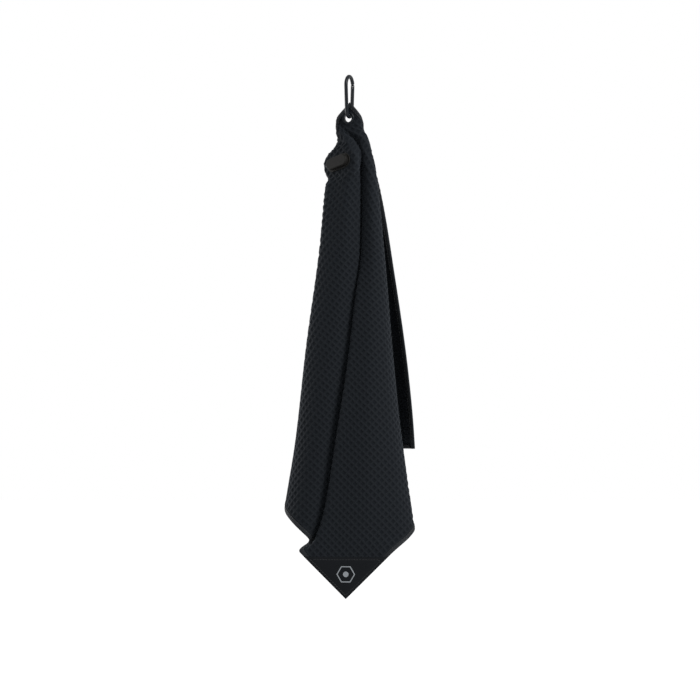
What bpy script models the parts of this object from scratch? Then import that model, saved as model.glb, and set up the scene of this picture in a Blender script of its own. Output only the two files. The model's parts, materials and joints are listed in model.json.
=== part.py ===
"""Golf towel hung by one corner from a small snap carabiner.

The towel is a square of waffle microfibre with a taped hem.  A metal eyelet near its top
corner rides on the lower bow of the carabiner, a moulded magnet pad sits below the eyelet,
and the bottom corner is closed by a two-sided smooth patch with a plain emblem.

Frame: metres, +Z up, the viewer on the -Y side.  The origin is the hang point, the inside
of the carabiner's upper bow.
"""

import math

import bpy
import numpy as np
from mathutils import Vector

# ---------------------------------------------------------------- driving sizes (metres)
CLEARANCE = 0.0003          # gap left between pieces that touch

ROD_R = 0.0021              # carabiner rod
LOOP_HEIGHT = 0.0500        # outer height of the carabiner
TOP_BOW_R = 0.01015         # centreline radius of the wide upper bow
LOW_BOW_R = 0.0080          # centreline radius of the narrow lower bow
LOOP_YAW = math.radians(21.7)   # the loop is seen nearly edge-on
NOSE_RISE = math.radians(14.0)  # how far up the bow the nose stops
PIVOT_UP = 0.0030           # gate pivot above the end of the lower bow
TONGUE = 0.0014             # flat tongues at both ends of the gate opening
TONGUE_REACH = 0.0030       # how far a tongue enters the gate
GATE_WALL = 0.0008          # wall of the tubular gate
BORE_DEPTH = 0.0130         # spring bore above the lower slot
PIVOT_PIN_R = 0.0008
LATCH_PIN_R = 0.0006
RIVET_HEAD = 0.0004
TONGUE_SET_IN = 0.0004      # the tongues and the rivet's heads differ from their rods by this
SPRING_WIRE_R = 0.0002
SPRING_TURNS = 7

TOWEL_SIDE = 0.400          # the square before it is hung
CLOTH_THICK = 0.0020
EYELET_INSET = 0.0140       # eyelet centre from both edges of its corner
EYELET_PLAY = 0.0025        # hole radius over the rod's
EYELET_WALL = 0.0006
EYELET_FLANGE = 0.0018      # flange past the cloth's hole
EYELET_PAD = 0.0080         # half width of the flat cloth round the eyelet
EYELET_ASIDE = 0.45         # where the rod bears in the eyelet, as shares of its play
EYELET_DOWN = 0.52
CORNER_BEND_R = 0.0013      # the corner above the eyelet is turned over forward
CORNER_BEND = math.radians(176)
CORNER_LEAN = math.radians(46.5)  # its fold line rises to the right
CORNER_FROM = 1.04          # where that bend starts, in half widths of the flat cloth
FLAT_TO = 1.4               # the cloth round the eyelet is flat this far, in the same half widths
GATHERED_FROM = 0.030       # and hangs in the drawn folds from this far below it
BESIDE = math.radians(85)   # beside and above the eyelet it stays flat, between these angles
ABOVE = math.radians(150)
PLATE = 0.0008              # sheet-metal thickness of eyelet and washer

TAPE_WIDTH = 0.0048         # hem tape on each face
TAPE_THICK = 0.0004
TAPE_SET = 0.74             # the tape's inner face, as a share of the cloth's half thickness
HEM_PRESSED = 0.15          # the stitching presses the cloth under it to this share

PATCH_LEG = 0.0670          # legs of the corner patch
PATCH_THICK = 0.0010
PATCH_STIFF = (1.08, 1.52)  # flat to the first, free from the second, in legs from the tip
EMBLEM_R = 0.0105
EMBLEM_BAND = 0.0013
EMBLEM_THICK = 0.0004
EMBLEM_FROM_TIP = 0.0280

MAGNET_LENGTH = 0.0330      # magnet pad, over its flange
MAGNET_HEIGHT = 0.0168
FLANGE_RIM = 0.0019         # flange showing round the raised cover
FLANGE_THICK = 0.0010
COVER_HEIGHT = 0.0046
COVER_WALL = 0.0012
MAGNET_R = 0.0046           # two disc magnets under the cover
MAGNET_THICK = 0.0026
BACKING_THICK = 0.0010
MAGNET_DROP = 0.0520        # pad centre below the eyelet, along the cloth
MAGNET_ASIDE = math.radians(22.0)   # and to the left of the diagonal
MAGNET_TILT = math.radians(9.0)     # the pad rises to the right
MAGNET_STIFF = (0.78, 1.55)  # flat to the first, free from the second, in pad heights

NECK_GRID = 8               # grid lines where the cloth is gathered below the eyelet
NECK_STEP = 0.0038
GRID = 28                   # grid lines from there to the patch, each way
PATCH_GRID = 6              # and beside the patch

# ---------------------------------------------------------------- places that follow
BOW_AXIS = np.array((math.sin(LOOP_YAW), math.cos(LOOP_YAW), 0.0))
ACROSS = np.array((math.cos(LOOP_YAW), -math.sin(LOOP_YAW), 0.0))
UP = np.array((0.0, 0.0, 1.0))
TOP_CENTRE_Z = ROD_R - TOP_BOW_R
LOW_POINT_Z = 3 * ROD_R - LOOP_HEIGHT
LOW_CENTRE_Z = LOW_POINT_Z + LOW_BOW_R
BAR_LEAN = math.asin((TOP_BOW_R - LOW_BOW_R) / (TOP_CENTRE_Z - LOW_CENTRE_Z))
EYELET_HOLE_R = ROD_R + EYELET_PLAY
BARREL_R = EYELET_HOLE_R + EYELET_WALL
CLOTH_HOLE_R = BARREL_R + CLEARANCE
FLANGE_R = CLOTH_HOLE_R + EYELET_FLANGE
HALF_CLOTH = CLOTH_THICK / 2
SWING_AT = UP * LOW_POINT_Z
EYELET_AT = SWING_AT - (EYELET_ASIDE * ACROSS + EYELET_DOWN * UP) * EYELET_PLAY
HANG = math.sqrt(2) * (TOWEL_SIDE - EYELET_INSET)

# ---------------------------------------------------------------- the hanging folds
# Each fold is a smooth line down the towel: (distance below the eyelet, place across).
# Both are for a towel that hangs FOLD_LENGTH below its eyelet, and scale with it.
FOLD_LENGTH = 0.5463
LEFT_FOLD = ((0.010, -0.005), (0.042, -0.017), (0.075, -0.0247), (0.150, -0.0315),
             (0.263, -0.0465), (0.370, -0.0586), (0.450, -0.0712), (0.580, -0.088))
RIGHT_FOLD = ((0.010, 0.013), (0.042, 0.025), (0.075, 0.0318), (0.150, 0.0392),
              (0.320, 0.0535), (0.482, 0.0746), (0.580, 0.091))
FRONT_FOLD = ((0.010, 0.008), (0.042, 0.0145), (0.075, 0.0176), (0.150, 0.016),
              (0.205, 0.0082), (0.263, 0.0017), (0.370, -0.0142), (0.450, -0.0275),
              (0.490, -0.0415), (0.580, -0.075))
LEFT_EDGE = ((0.010, -0.007), (0.030, -0.003), (0.042, 0.010), (0.058, 0.026),
             (0.077, 0.0335), (0.190, 0.0533), (0.304, 0.069), (0.372, 0.0752),
             (0.580, 0.085))
DIAGONAL_ARC = ((0.0, 0.0), (0.075, 0.044), (0.150, 0.068), (0.263, 0.065),
                (0.370, 0.069), (0.482, 0.0815), (0.580, 0.096))
BIAS_STRETCH = ((0.0, 1.0), (0.320, 1.0), (0.482, 1.05), (0.580, 1.05))
LEFT_TURN = ((0.010, 0.003), (0.050, 0.0055), (0.150, 0.0055), (0.370, 0.009),
             (0.580, 0.012))
PANEL_BULGE = ((0.010, 0.0), (0.050, 0.0010), (0.150, -0.0025), (0.370, -0.0047),
               (0.580, -0.006))
RIDGE_DEPTH = ((0.010, 0.002), (0.075, 0.0075), (0.150, 0.0115), (0.370, 0.0225),
               (0.580, 0.018))
FOLD_DEPTH = ((0.010, 0.001), (0.075, 0.001), (0.150, 0.003), (0.205, 0.0085),
              (0.370, 0.0145), (0.580, 0.014))
VALLEY_UNDER = ((0.010, -0.003), (0.075, -0.0035), (0.150, -0.0015), (0.205, 0.004),
                (0.370, 0.010), (0.580, 0.012))
VALLEY_DEPTH = ((0.010, 0.002), (0.075, 0.004), (0.150, 0.007), (0.205, 0.003),
                (0.263, 0.0), (0.370, -0.003), (0.580, -0.004))
PANEL_EDGE = ((0.010, -0.006), (0.075, -0.0068), (0.150, -0.0052), (0.205, -0.002),
              (0.370, 0.0), (0.580, 0.0))
FLAP_DEPTH = ((0.010, 0.0170), (0.028, 0.0140), (0.042, 0.0110), (0.075, 0.0115),
              (0.150, 0.014), (0.580, 0.014))
BACK_DEPTH = ((0.010, 0.022), (0.028, 0.0200), (0.042, 0.0185), (0.075, 0.0215),
              (0.150, 0.034), (0.370, 0.075), (0.580, 0.092))
PLEAT_DEPTH = ((0.060, 0.0), (0.150, 0.004), (0.370, 0.0145), (0.580, 0.016))
FORWARD = ((0.0, 0.0), (0.075, 0.004), (0.370, 0.028), (0.580, 0.030))
FLAP_STEP = 0.0160          # depth between two passes of the hidden flap
SPAN_STEPS = 10             # samples between two points of a section
SECTIONS = np.concatenate((np.linspace(0.004, 0.060, 15), np.linspace(0.065, 0.580, 80)))


def ramp(value, low, high):
    """Smooth step from 0 at low to 1 at high."""
    t = np.clip((value - low) / (high - low), 0.0, 1.0)
    return t * t * (3.0 - 2.0 * t)


def along(table, r):
    """Read a fold line at r with a monotone cubic through its points."""
    keys = np.array([point[0] for point in table])
    values = np.array([point[1] for point in table])
    gaps = np.diff(keys)
    slopes = np.diff(values) / gaps
    tangents = np.zeros_like(values)
    product = slopes[:-1] * slopes[1:]
    total = slopes[:-1] + slopes[1:]
    same_way = product > 0.0
    tangents[1:-1][same_way] = 2.0 * product[same_way] / total[same_way]
    tangents[0] = slopes[0]
    tangents[-1] = slopes[-1]
    r = np.clip(r, keys[0], keys[-1])
    i = np.clip(np.searchsorted(keys, r) - 1, 0, len(keys) - 2)
    t = (r - keys[i]) / gaps[i]
    start = (2 * t ** 3 - 3 * t ** 2 + 1) * values[i] + (t ** 3 - 2 * t ** 2 + t) * gaps[i] * tangents[i]
    end = (3 * t ** 2 - 2 * t ** 3) * values[i + 1] + (t ** 3 - t ** 2) * gaps[i] * tangents[i + 1]
    return start + end


def section_points(r):
    """Points of the folded cross-section at r, hidden right flap first, left edge last.

    Returns the points and the places of the right fold and the left fold in the list.
    """
    left = along(LEFT_FOLD, r)
    right = along(RIGHT_FOLD, r)
    front = along(FRONT_FOLD, r)
    edge = along(LEFT_EDGE, r)
    width = right - left
    grown = min(r / 0.370, 1.1)
    pass_1 = along(FLAP_DEPTH, r)
    pass_2 = pass_1 + FLAP_STEP * grown
    pass_3 = pass_2 + FLAP_STEP * grown
    back = along(BACK_DEPTH, r)
    pleat = along(PLEAT_DEPTH, r)
    ridge = -along(RIDGE_DEPTH, r)
    fold = -along(FOLD_DEPTH, r)
    valley = along(VALLEY_DEPTH, r)
    panel = front + along(PANEL_EDGE, r)

    def flap(share, depth):
        return (left + share * width, depth)

    def backed(share, depth):
        return (left + share * (edge - left), depth)

    hidden = [flap(0.22, pass_3), flap(0.50, pass_3), flap(0.78, pass_3),
              flap(0.88, 0.5 * (pass_2 + pass_3)),
              flap(0.80, pass_2), flap(0.50, pass_2), flap(0.24, pass_2),
              flap(0.16, 0.5 * (pass_1 + pass_2)),
              flap(0.24, pass_1), flap(0.52, pass_1), flap(0.82, pass_1),
              flap(0.98, 0.35 * pass_1 + 0.008 * r)]
    front_panel = [(right, -0.005 * r),
                   (right - 0.16 * (right - front), 0.68 * ridge),
                   (right - 0.48 * (right - front), ridge),
                   (right - 0.82 * (right - front), 0.35 * ridge + 0.65 * fold - 0.0015),
                   (front, fold),
                   (front + along(VALLEY_UNDER, r), valley)]
    left_panel = [(panel, 0.2 * valley - 0.0045),
                  (panel - 0.35 * (panel - left), -0.0065 - 0.010 * r),
                  (panel - 0.75 * (panel - left), along(PANEL_BULGE, r)),
                  (left, along(LEFT_TURN, r))]
    behind = [(left + 0.02 * width, 0.45 * back),
              (left + 0.12 * width, 0.92 * back),
              backed(0.31, back - pleat), backed(0.49, back + pleat),
              backed(0.67, back - pleat), backed(0.85, back + 0.8 * pleat),
              (edge, back - 0.35 * pleat)]
    points = hidden + front_panel + left_panel + behind
    return np.array(points), len(hidden), len(hidden) + len(front_panel) + len(left_panel) - 1


def smooth_line(points, steps):
    """Catmull-Rom curve through the points, steps samples to a span."""
    first = 2 * points[0] - points[1]
    last = 2 * points[-1] - points[-2]
    padded = np.vstack((first, points, last))
    t = np.linspace(0.0, 1.0, steps, endpoint=False)[:, None]
    spans = []
    for i in range(1, len(points)):
        a, b, c, d = padded[i - 1:i + 3]
        cubic = 2 * b + (c - a) * t + (2 * a - 5 * b + 4 * c - d) * t ** 2
        cubic = cubic + (3 * b - a - 3 * c + d) * t ** 3
        spans.append(0.5 * cubic)
    spans.append(padded[-2:-1])
    return np.vstack(spans)


def measured_section(r):
    """The section at r as (curve, arc length, arc of the diagonal, arc of the left fold, ease).

    Ease shares the cloth left behind the left fold over the curve drawn for it.
    """
    points, right_at, left_at = section_points(r)
    curve = smooth_line(points, SPAN_STEPS)
    steps = np.linalg.norm(np.diff(curve, axis=0), axis=1)
    arc = np.concatenate(((0.0,), np.cumsum(steps)))
    diagonal = arc[right_at * SPAN_STEPS] + along(DIAGONAL_ARC, r)
    left_fold = arc[left_at * SPAN_STEPS]
    inset = EYELET_INSET * FOLD_LENGTH / HANG
    whole = r * (math.pi / 4 + math.asin(min(1.0, inset / max(r, inset))))
    needed = max(whole - (left_fold - diagonal), 1e-4)
    return curve, arc, diagonal, left_fold, (arc[-1] - left_fold) / needed


SECTION_CURVES = [measured_section(r) for r in SECTIONS]


def folded(r, theta):
    """Place in plan (x, y) of the cloth at radius r and flat angle theta from the diagonal."""
    level = np.interp(r, SECTIONS, np.arange(len(SECTIONS)))
    lower = np.clip(np.floor(level).astype(int), 0, len(SECTIONS) - 2)
    plan = np.zeros(r.shape + (2,))
    for k in np.unique(lower):
        here = lower == k
        share = (level[here] - k)[:, None]
        ends = []
        for curve, arc, diagonal, left_fold, ease in SECTION_CURVES[k:k + 2]:
            s = r[here] * theta[here]
            s = np.where(s < 0.0, s * along(BIAS_STRETCH, r[here]), s) + diagonal
            s = np.where(s > left_fold, left_fold + (s - left_fold) * ease, s)
            ends.append(np.stack((np.interp(s, arc, curve[:, 0]), np.interp(s, arc, curve[:, 1])), -1))
        plan[here] = ends[0] * (1 - share) + ends[1] * share
    return plan


def turned_over(beside, above):
    """The flat cloth round the eyelet, with the corner above it bent over forward.

    Takes places across and above the eyelet's centre and returns offsets from it.
    """
    fold_way = math.cos(CORNER_LEAN) * UP - math.sin(CORNER_LEAN) * ACROSS
    fold_line = math.sin(CORNER_LEAN) * UP + math.cos(CORNER_LEAN) * ACROSS
    reach = above * math.cos(CORNER_LEAN) - beside * math.sin(CORNER_LEAN)
    place = above * math.sin(CORNER_LEAN) + beside * math.cos(CORNER_LEAN)
    bend_at = CORNER_FROM * EYELET_PAD
    past = np.maximum(reach - bend_at, 0.0)
    turn = np.minimum(past / CORNER_BEND_R, CORNER_BEND)
    rest = past - turn * CORNER_BEND_R
    height = np.minimum(reach, bend_at) + CORNER_BEND_R * np.sin(turn) + rest * math.cos(CORNER_BEND)
    depth = CORNER_BEND_R * (1 - np.cos(turn)) + rest * math.sin(CORNER_BEND)
    return height[..., None] * fold_way + place[..., None] * fold_line - depth[..., None] * BOW_AXIS


def free_drape(u, v):
    """Where the flat cloth point (u, v) hangs; the eyelet's corner is (0, 0), u = 0 the left edge."""
    a = u - EYELET_INSET
    b = v - EYELET_INSET
    scale = HANG / FOLD_LENGTH
    r = np.hypot(a, b) / scale
    theta = np.arctan2(b - a, a + b)
    plan = folded(r, theta)
    x = plan[..., 0]
    y = plan[..., 1] - along(FORWARD, r)
    z = -np.sqrt(np.maximum(r * r - x * x - y * y, (0.35 * r) ** 2))
    gathered = np.stack((x, y, z), -1) * scale
    r = r * scale
    flat = turned_over(-r * np.sin(theta), -r * np.cos(theta))
    below = 1 - ramp(np.abs(theta), BESIDE, ABOVE)
    share = (ramp(r, FLAT_TO * EYELET_PAD, GATHERED_FROM) * below)[..., None]
    return EYELET_AT + flat * (1 - share) + gathered * share


def unit(vector):
    """Vectors made one long."""
    return vector / np.linalg.norm(vector, axis=-1, keepdims=True)


def tangent_frame(place, u, v):
    """Point and unit frame (across u, toward v, outward) of a drape at one flat point."""
    step = 0.001
    here = place(np.array([u]), np.array([v]))[0]
    along_u = place(np.array([u + step]), np.array([v]))[0] - place(np.array([u - step]), np.array([v]))[0]
    along_v = place(np.array([u]), np.array([v + step]))[0] - place(np.array([u]), np.array([v - step]))[0]
    out = unit(np.cross(along_v, along_u))
    out = out if out[1] < 0.0 else -out
    mean = unit(unit(along_u) + unit(along_v))
    side = unit(np.cross(out, mean))
    side = side if np.dot(side, along_u - along_v) > 0.0 else -side
    return here, unit(mean + side), unit(mean - side), out


MAGNET_UV = (EYELET_INSET + MAGNET_DROP * math.cos(math.pi / 4 + MAGNET_ASIDE),
             EYELET_INSET + MAGNET_DROP * math.sin(math.pi / 4 + MAGNET_ASIDE))
MAGNET_FRAME = tangent_frame(free_drape, *MAGNET_UV)
PATCH_UV = (TOWEL_SIDE - PATCH_LEG / 3, TOWEL_SIDE - PATCH_LEG / 3)
PATCH_FRAME = tangent_frame(free_drape, *PATCH_UV)


def on_plane(frame, centre, u, v):
    """The flat map that lays (u, v) on the plane of a frame."""
    here, side_u, side_v, _ = frame
    return here + (u - centre[0])[..., None] * side_u + (v - centre[1])[..., None] * side_v


def drape(u, v):
    """The hanging cloth, flat under the stiff magnet pad and in the stiff corner patch."""
    place = free_drape(u, v)
    du = u - MAGNET_UV[0]
    dv = v - MAGNET_UV[1]
    level = (du - dv) / math.sqrt(2)
    steep = (du + dv) / math.sqrt(2)
    reach = np.hypot(np.maximum(np.abs(level) - 0.5 * (MAGNET_LENGTH - MAGNET_HEIGHT), 0), steep)
    stiff = (1 - ramp(reach, MAGNET_STIFF[0] * MAGNET_HEIGHT, MAGNET_STIFF[1] * MAGNET_HEIGHT))[..., None]
    place = place * (1 - stiff) + on_plane(MAGNET_FRAME, MAGNET_UV, u, v) * stiff
    from_tip = 2 * TOWEL_SIDE - u - v
    stiff = (1 - ramp(from_tip, PATCH_STIFF[0] * PATCH_LEG, PATCH_STIFF[1] * PATCH_LEG))[..., None]
    return place * (1 - stiff) + on_plane(PATCH_FRAME, PATCH_UV, u, v) * stiff


def surface(u, v):
    """Point and outward normal of the cloth's middle surface at arrays (u, v)."""
    step = 0.0012
    along_u = drape(u + step, v) - drape(u - step, v)
    along_v = drape(u, v + step) - drape(u, v - step)
    return drape(u, v), unit(np.cross(along_v, along_u))


# ---------------------------------------------------------------- building blocks
def clear_scene():
    """Start from an empty scene."""
    for old in list(bpy.data.objects):
        bpy.data.objects.remove(old, do_unlink=True)


def finish_material(name, colour, roughness, metallic):
    """A plain finish for one sub-part."""
    finish = bpy.data.materials.new(name)
    finish.use_nodes = True
    shader = finish.node_tree.nodes["Principled BSDF"]
    shader.inputs["Base Color"].default_value = (*colour, 1.0)
    shader.inputs["Roughness"].default_value = roughness
    shader.inputs["Metallic"].default_value = metallic
    return finish


def pivot_empty(name, place):
    """An empty that marks a joint."""
    empty = bpy.data.objects.new(name, None)
    empty.location = Vector(place)
    bpy.context.collection.objects.link(empty)
    return empty


def solid(name, points, faces, look, parent=None, smooth_angle=35.0):
    """A named mesh object from world points, carried by its joint's empty."""
    origin = np.array(parent.location) if parent else np.zeros(3)
    mesh = bpy.data.meshes.new(name)
    mesh.from_pydata([Vector(p - origin) for p in points], [], faces)
    mesh.shade_smooth()
    mesh.set_sharp_from_angle(angle=math.radians(smooth_angle))
    mesh.materials.append(finish_material(name, *look))
    obj = bpy.data.objects.new(name, mesh)
    bpy.context.collection.objects.link(obj)
    obj.parent = parent
    return obj


def ring_faces(rings, sides, closed=False):
    """Quads that join rings of equal point count, and caps unless the rings close."""
    faces = []
    last = rings if closed else rings - 1
    for i in range(last):
        for j in range(sides):
            k = (j + 1) % sides
            n = (i + 1) % rings
            faces.append((i * sides + j, i * sides + k, n * sides + k, n * sides + j))
    if not closed:
        faces.append(tuple(reversed(range(sides))))
        faces.append(tuple(range((rings - 1) * sides, rings * sides)))
    return faces


def swept(path, outline, axes, closed=False):
    """Points and faces of an outline carried along a path; axes gives (x, y) at each point.

    The outline runs anticlockwise as seen looking back along the path.
    """
    points = []
    for place, (x_axis, y_axis) in zip(path, axes):
        points.extend(place + x * x_axis + y * y_axis for x, y in outline)
    return points, ring_faces(len(path), len(outline), closed)


def circle(radius, sides):
    """A round outline."""
    turns = (2 * math.pi * k / sides for k in range(sides))
    return [(radius * math.cos(turn), radius * math.sin(turn)) for turn in turns]


def plane_axes(path, normal):
    """Sweep axes for a path that stays in the plane of a normal."""
    travel = unit(np.gradient(np.array(path), axis=0))
    return [(np.cross(normal, step), normal) for step in travel]


def turned(profile, centre, axis, start, sides):
    """Points and faces of a closed profile of (radius, height) turned about an axis.

    The profile runs anticlockwise with the radius to the right and the height up.
    """
    other = np.cross(axis, start)
    points = []
    for k in range(sides):
        turn = 2 * math.pi * k / sides
        out = start * math.cos(turn) + other * math.sin(turn)
        points.extend(centre + radius * out + height * axis for radius, height in profile)
    return points, [face[::-1] for face in ring_faces(sides, len(profile), closed=True)]


def pin(profile, centre, axis, start, sides):
    """A solid pin: profile (radius, height) from end to end, capped at both ends."""
    other = np.cross(axis, start)
    path = [centre + height * axis for _, height in profile]
    points = []
    for place, (radius, _) in zip(path, profile):
        points.extend(place + x * start + y * other for x, y in circle(radius, sides))
    return points, ring_faces(len(profile), sides)


def cutter(name, points, faces, parent=None):
    """A shape that is only subtracted."""
    tool = solid(name, points, faces, ((0.8, 0.2, 0.2), 0.5, 0.0), parent)
    tool.hide_render = True
    tool.display_type = "WIRE"
    return tool


def cut(target, tool):
    """Subtract a cutter."""
    step = target.modifiers.new(tool.name, "BOOLEAN")
    step.operation = "DIFFERENCE"
    step.solver = "EXACT"
    step.object = tool


def block(centre, axes, sizes):
    """Points and faces of a box on three axes."""
    signs = ((-1, -1, -1), (1, -1, -1), (1, 1, -1), (-1, 1, -1),
             (-1, -1, 1), (1, -1, 1), (1, 1, 1), (-1, 1, 1))
    points = [centre + sum(0.5 * s * size * axis for s, size, axis in zip(corner, sizes, axes))
              for corner in signs]
    faces = [(3, 2, 1, 0), (4, 5, 6, 7), (0, 1, 5, 4), (1, 2, 6, 5), (2, 3, 7, 6), (3, 0, 4, 7)]
    return points, faces


# ---------------------------------------------------------------- carabiner
BLACK_METAL = ((0.030, 0.031, 0.034), 0.30, 0.85)
SPRING_STEEL = ((0.45, 0.45, 0.46), 0.30, 1.0)
ROD_SIDES = 14


def loop_point(angle, centre_z, radius):
    """A point of a bow; the angle runs from the gate side over the top."""
    return radius * math.cos(angle) * BOW_AXIS + (centre_z + radius * math.sin(angle)) * UP


def bow_arc(start, end, centre_z, radius, steps):
    """Points along a bow."""
    return [loop_point(angle, centre_z, radius) for angle in np.linspace(start, end, steps)]


GATE_FOOT = loop_point(-BAR_LEAN, LOW_CENTRE_Z, LOW_BOW_R)
GATE_HEAD = loop_point(-BAR_LEAN, TOP_CENTRE_Z, TOP_BOW_R)
GATE_UP = unit(GATE_HEAD - GATE_FOOT)
GATE_OUT = np.cross(GATE_UP, ACROSS)
PIVOT = GATE_FOOT + PIVOT_UP * GATE_UP
NOSE_TIP = loop_point(NOSE_RISE - BAR_LEAN, TOP_CENTRE_Z, TOP_BOW_R)
SHOULDER = PIVOT - (ROD_R + CLEARANCE) * GATE_UP
NOSE_GAP = 0.00045          # the gate's corner needs it as it swings past the nose
GATE_LENGTH = np.dot(NOSE_TIP - PIVOT, GATE_UP) - NOSE_GAP - ROD_R * math.sin(NOSE_RISE)
LATCH_AT = PIVOT + (GATE_LENGTH - 0.55 * TONGUE_REACH) * GATE_UP - 0.0005 * GATE_OUT
TONGUE_R = ROD_R - TONGUE_SET_IN   # round tongue about the pivot
BORE_R = ROD_R - GATE_WALL
BORE_FROM = TONGUE_R + CLEARANCE
SLOT = TONGUE + 2 * CLEARANCE


def make_carabiner_body():
    """The bent rod, with a flat tongue at each end of the gate opening."""
    near = math.pi + BAR_LEAN
    path = bow_arc(NOSE_RISE - BAR_LEAN, near, TOP_CENTRE_Z, TOP_BOW_R, 19)
    path += bow_arc(near, 2 * math.pi - BAR_LEAN, LOW_CENTRE_Z, LOW_BOW_R, 15)
    path.append(SHOULDER)
    body = solid("carabiner_body", *swept(path, circle(ROD_R, ROD_SIDES), plane_axes(path, ACROSS)),
                 BLACK_METAL)
    root = 0.0012           # how far each tongue is buried in the rod
    lower = pin([(TONGUE_R, -TONGUE / 2), (TONGUE_R, TONGUE / 2)], PIVOT, ACROSS, GATE_UP, 20)
    stem_length = ROD_R + CLEARANCE + root
    stem = block(PIVOT - 0.5 * stem_length * GATE_UP, (ACROSS, GATE_OUT, GATE_UP),
                 (TONGUE, 2 * TONGUE_R, stem_length))
    head = PIVOT + GATE_LENGTH * GATE_UP
    upper_length = TONGUE_REACH + NOSE_GAP + root
    upper = block(head + (0.5 * upper_length - TONGUE_REACH) * GATE_UP + 0.0001 * GATE_OUT,
                  (ACROSS, GATE_OUT, GATE_UP), (TONGUE, 2 * TONGUE_R, upper_length))
    for name, shape in (("tongue_round", lower), ("tongue_stem", stem), ("nose_tongue", upper)):
        join = body.modifiers.new(name, "BOOLEAN")
        join.operation = "UNION"
        join.solver = "EXACT"
        join.object = cutter(name, *shape)
    hole_r = PIVOT_PIN_R + CLEARANCE
    pivot_hole = pin([(hole_r, -ROD_R), (hole_r, ROD_R)], PIVOT, ACROSS, GATE_UP, 16)
    cut(body, cutter("pivot_hole", *pivot_hole))
    notch_r = LATCH_PIN_R + CLEARANCE
    notch = block(LATCH_AT - 0.002 * GATE_OUT, (ACROSS, GATE_OUT, GATE_UP),
                  (2 * ROD_R, 0.004 + 2 * CLEARANCE, 1.9 * notch_r))
    cut(body, cutter("latch_notch", *notch))
    seat = pin([(notch_r, -ROD_R), (notch_r, ROD_R)], LATCH_AT, ACROSS, GATE_UP, 16)
    cut(body, cutter("latch_seat", *seat))


def make_gate(hinge):
    """The tubular gate: round heel at the pivot, slots for both tongues, bore for the spring."""
    heel = [(ROD_R * math.cos(a), ROD_R * math.sin(a)) for a in np.radians((-82, -60, -40, -20, 0))]
    profile = heel + [(ROD_R, GATE_LENGTH - 0.0003), (ROD_R - 0.0003, GATE_LENGTH)]
    gate = solid("carabiner_gate", *pin(profile, PIVOT, GATE_UP, GATE_OUT, ROD_SIDES + 2),
                 BLACK_METAL, hinge)
    low_slot = ROD_R + BORE_FROM + 0.001
    cut(gate, cutter("heel_slot", *block(PIVOT + (BORE_FROM - 0.5 * low_slot) * GATE_UP,
                                         (ACROSS, GATE_OUT, GATE_UP), (SLOT, 3 * ROD_R, low_slot)), hinge))
    high_slot = TONGUE_REACH + 2 * CLEARANCE
    cut(gate, cutter("head_slot", *block(PIVOT + GATE_LENGTH * GATE_UP,
                                         (ACROSS, GATE_OUT, GATE_UP), (SLOT, 3 * ROD_R, 2 * high_slot)), hinge))
    bore = pin([(BORE_R, 0.6 * BORE_FROM), (BORE_R, BORE_FROM + BORE_DEPTH)], PIVOT, GATE_UP, GATE_OUT, 16)
    cut(gate, cutter("spring_bore", *bore, hinge))
    hole_r = PIVOT_PIN_R + CLEARANCE
    through = 2 * ROD_R         # a cut this far to each side passes right through the gate
    pivot_hole = pin([(hole_r, -through), (hole_r, through)], PIVOT, ACROSS, GATE_UP, 16)
    cut(gate, cutter("gate_pivot_hole", *pivot_hole, hinge))
    hole_r = LATCH_PIN_R + CLEARANCE
    pin_hole = pin([(hole_r, -through), (hole_r, through)], LATCH_AT, ACROSS, GATE_UP, 14)
    cut(gate, cutter("latch_pin_hole", *pin_hole, hinge))


def make_gate_works(hinge):
    """Pivot rivet, latch pin, and the plunger and spring in the gate's bore."""
    end = ROD_R + CLEARANCE
    head = PIVOT_PIN_R + TONGUE_SET_IN
    rivet = [(0.8 * head, -end - RIVET_HEAD), (head, -end - 0.5 * RIVET_HEAD), (head, -end),
             (PIVOT_PIN_R, -end), (PIVOT_PIN_R, end),
             (head, end), (head, end + 0.5 * RIVET_HEAD), (0.8 * head, end + RIVET_HEAD)]
    solid("gate_pivot_rivet", *pin(rivet, PIVOT, ACROSS, GATE_UP, 16), BLACK_METAL)
    flush = ROD_R - 0.0002
    latch = pin([(LATCH_PIN_R, -flush), (LATCH_PIN_R, flush)], LATCH_AT, ACROSS, GATE_UP, 12)
    solid("gate_latch_pin", *latch, SPRING_STEEL, hinge)
    foot = BORE_FROM + 0.0001
    plunger_r = BORE_R - CLEARANCE
    plunger = [(0.5 * plunger_r, foot), (plunger_r, foot + 0.0005), (plunger_r, foot + 0.0022)]
    solid("gate_plunger", *pin(plunger, PIVOT, GATE_UP, GATE_OUT, 14), SPRING_STEEL, hinge)
    start = foot + 0.0022 + CLEARANCE + SPRING_WIRE_R
    finish = BORE_FROM + BORE_DEPTH - CLEARANCE - SPRING_WIRE_R
    coil_r = BORE_R - CLEARANCE - SPRING_WIRE_R
    path = []
    for k in range(SPRING_TURNS * 10 + 1):
        turn = 2 * math.pi * k / 10
        height = start + (finish - start) * k / (SPRING_TURNS * 10)
        path.append(PIVOT + coil_r * (math.cos(turn) * GATE_OUT + math.sin(turn) * ACROSS) + height * GATE_UP)
    travel = unit(np.gradient(np.array(path), axis=0))
    axes = []
    for place, step in zip(path, travel):
        out = place - PIVOT
        out = unit(out - np.dot(out, GATE_UP) * GATE_UP)
        axes.append((out, np.cross(step, out)))
    solid("gate_spring", *swept(path, circle(SPRING_WIRE_R, 5), axes), SPRING_STEEL, hinge)


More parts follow.
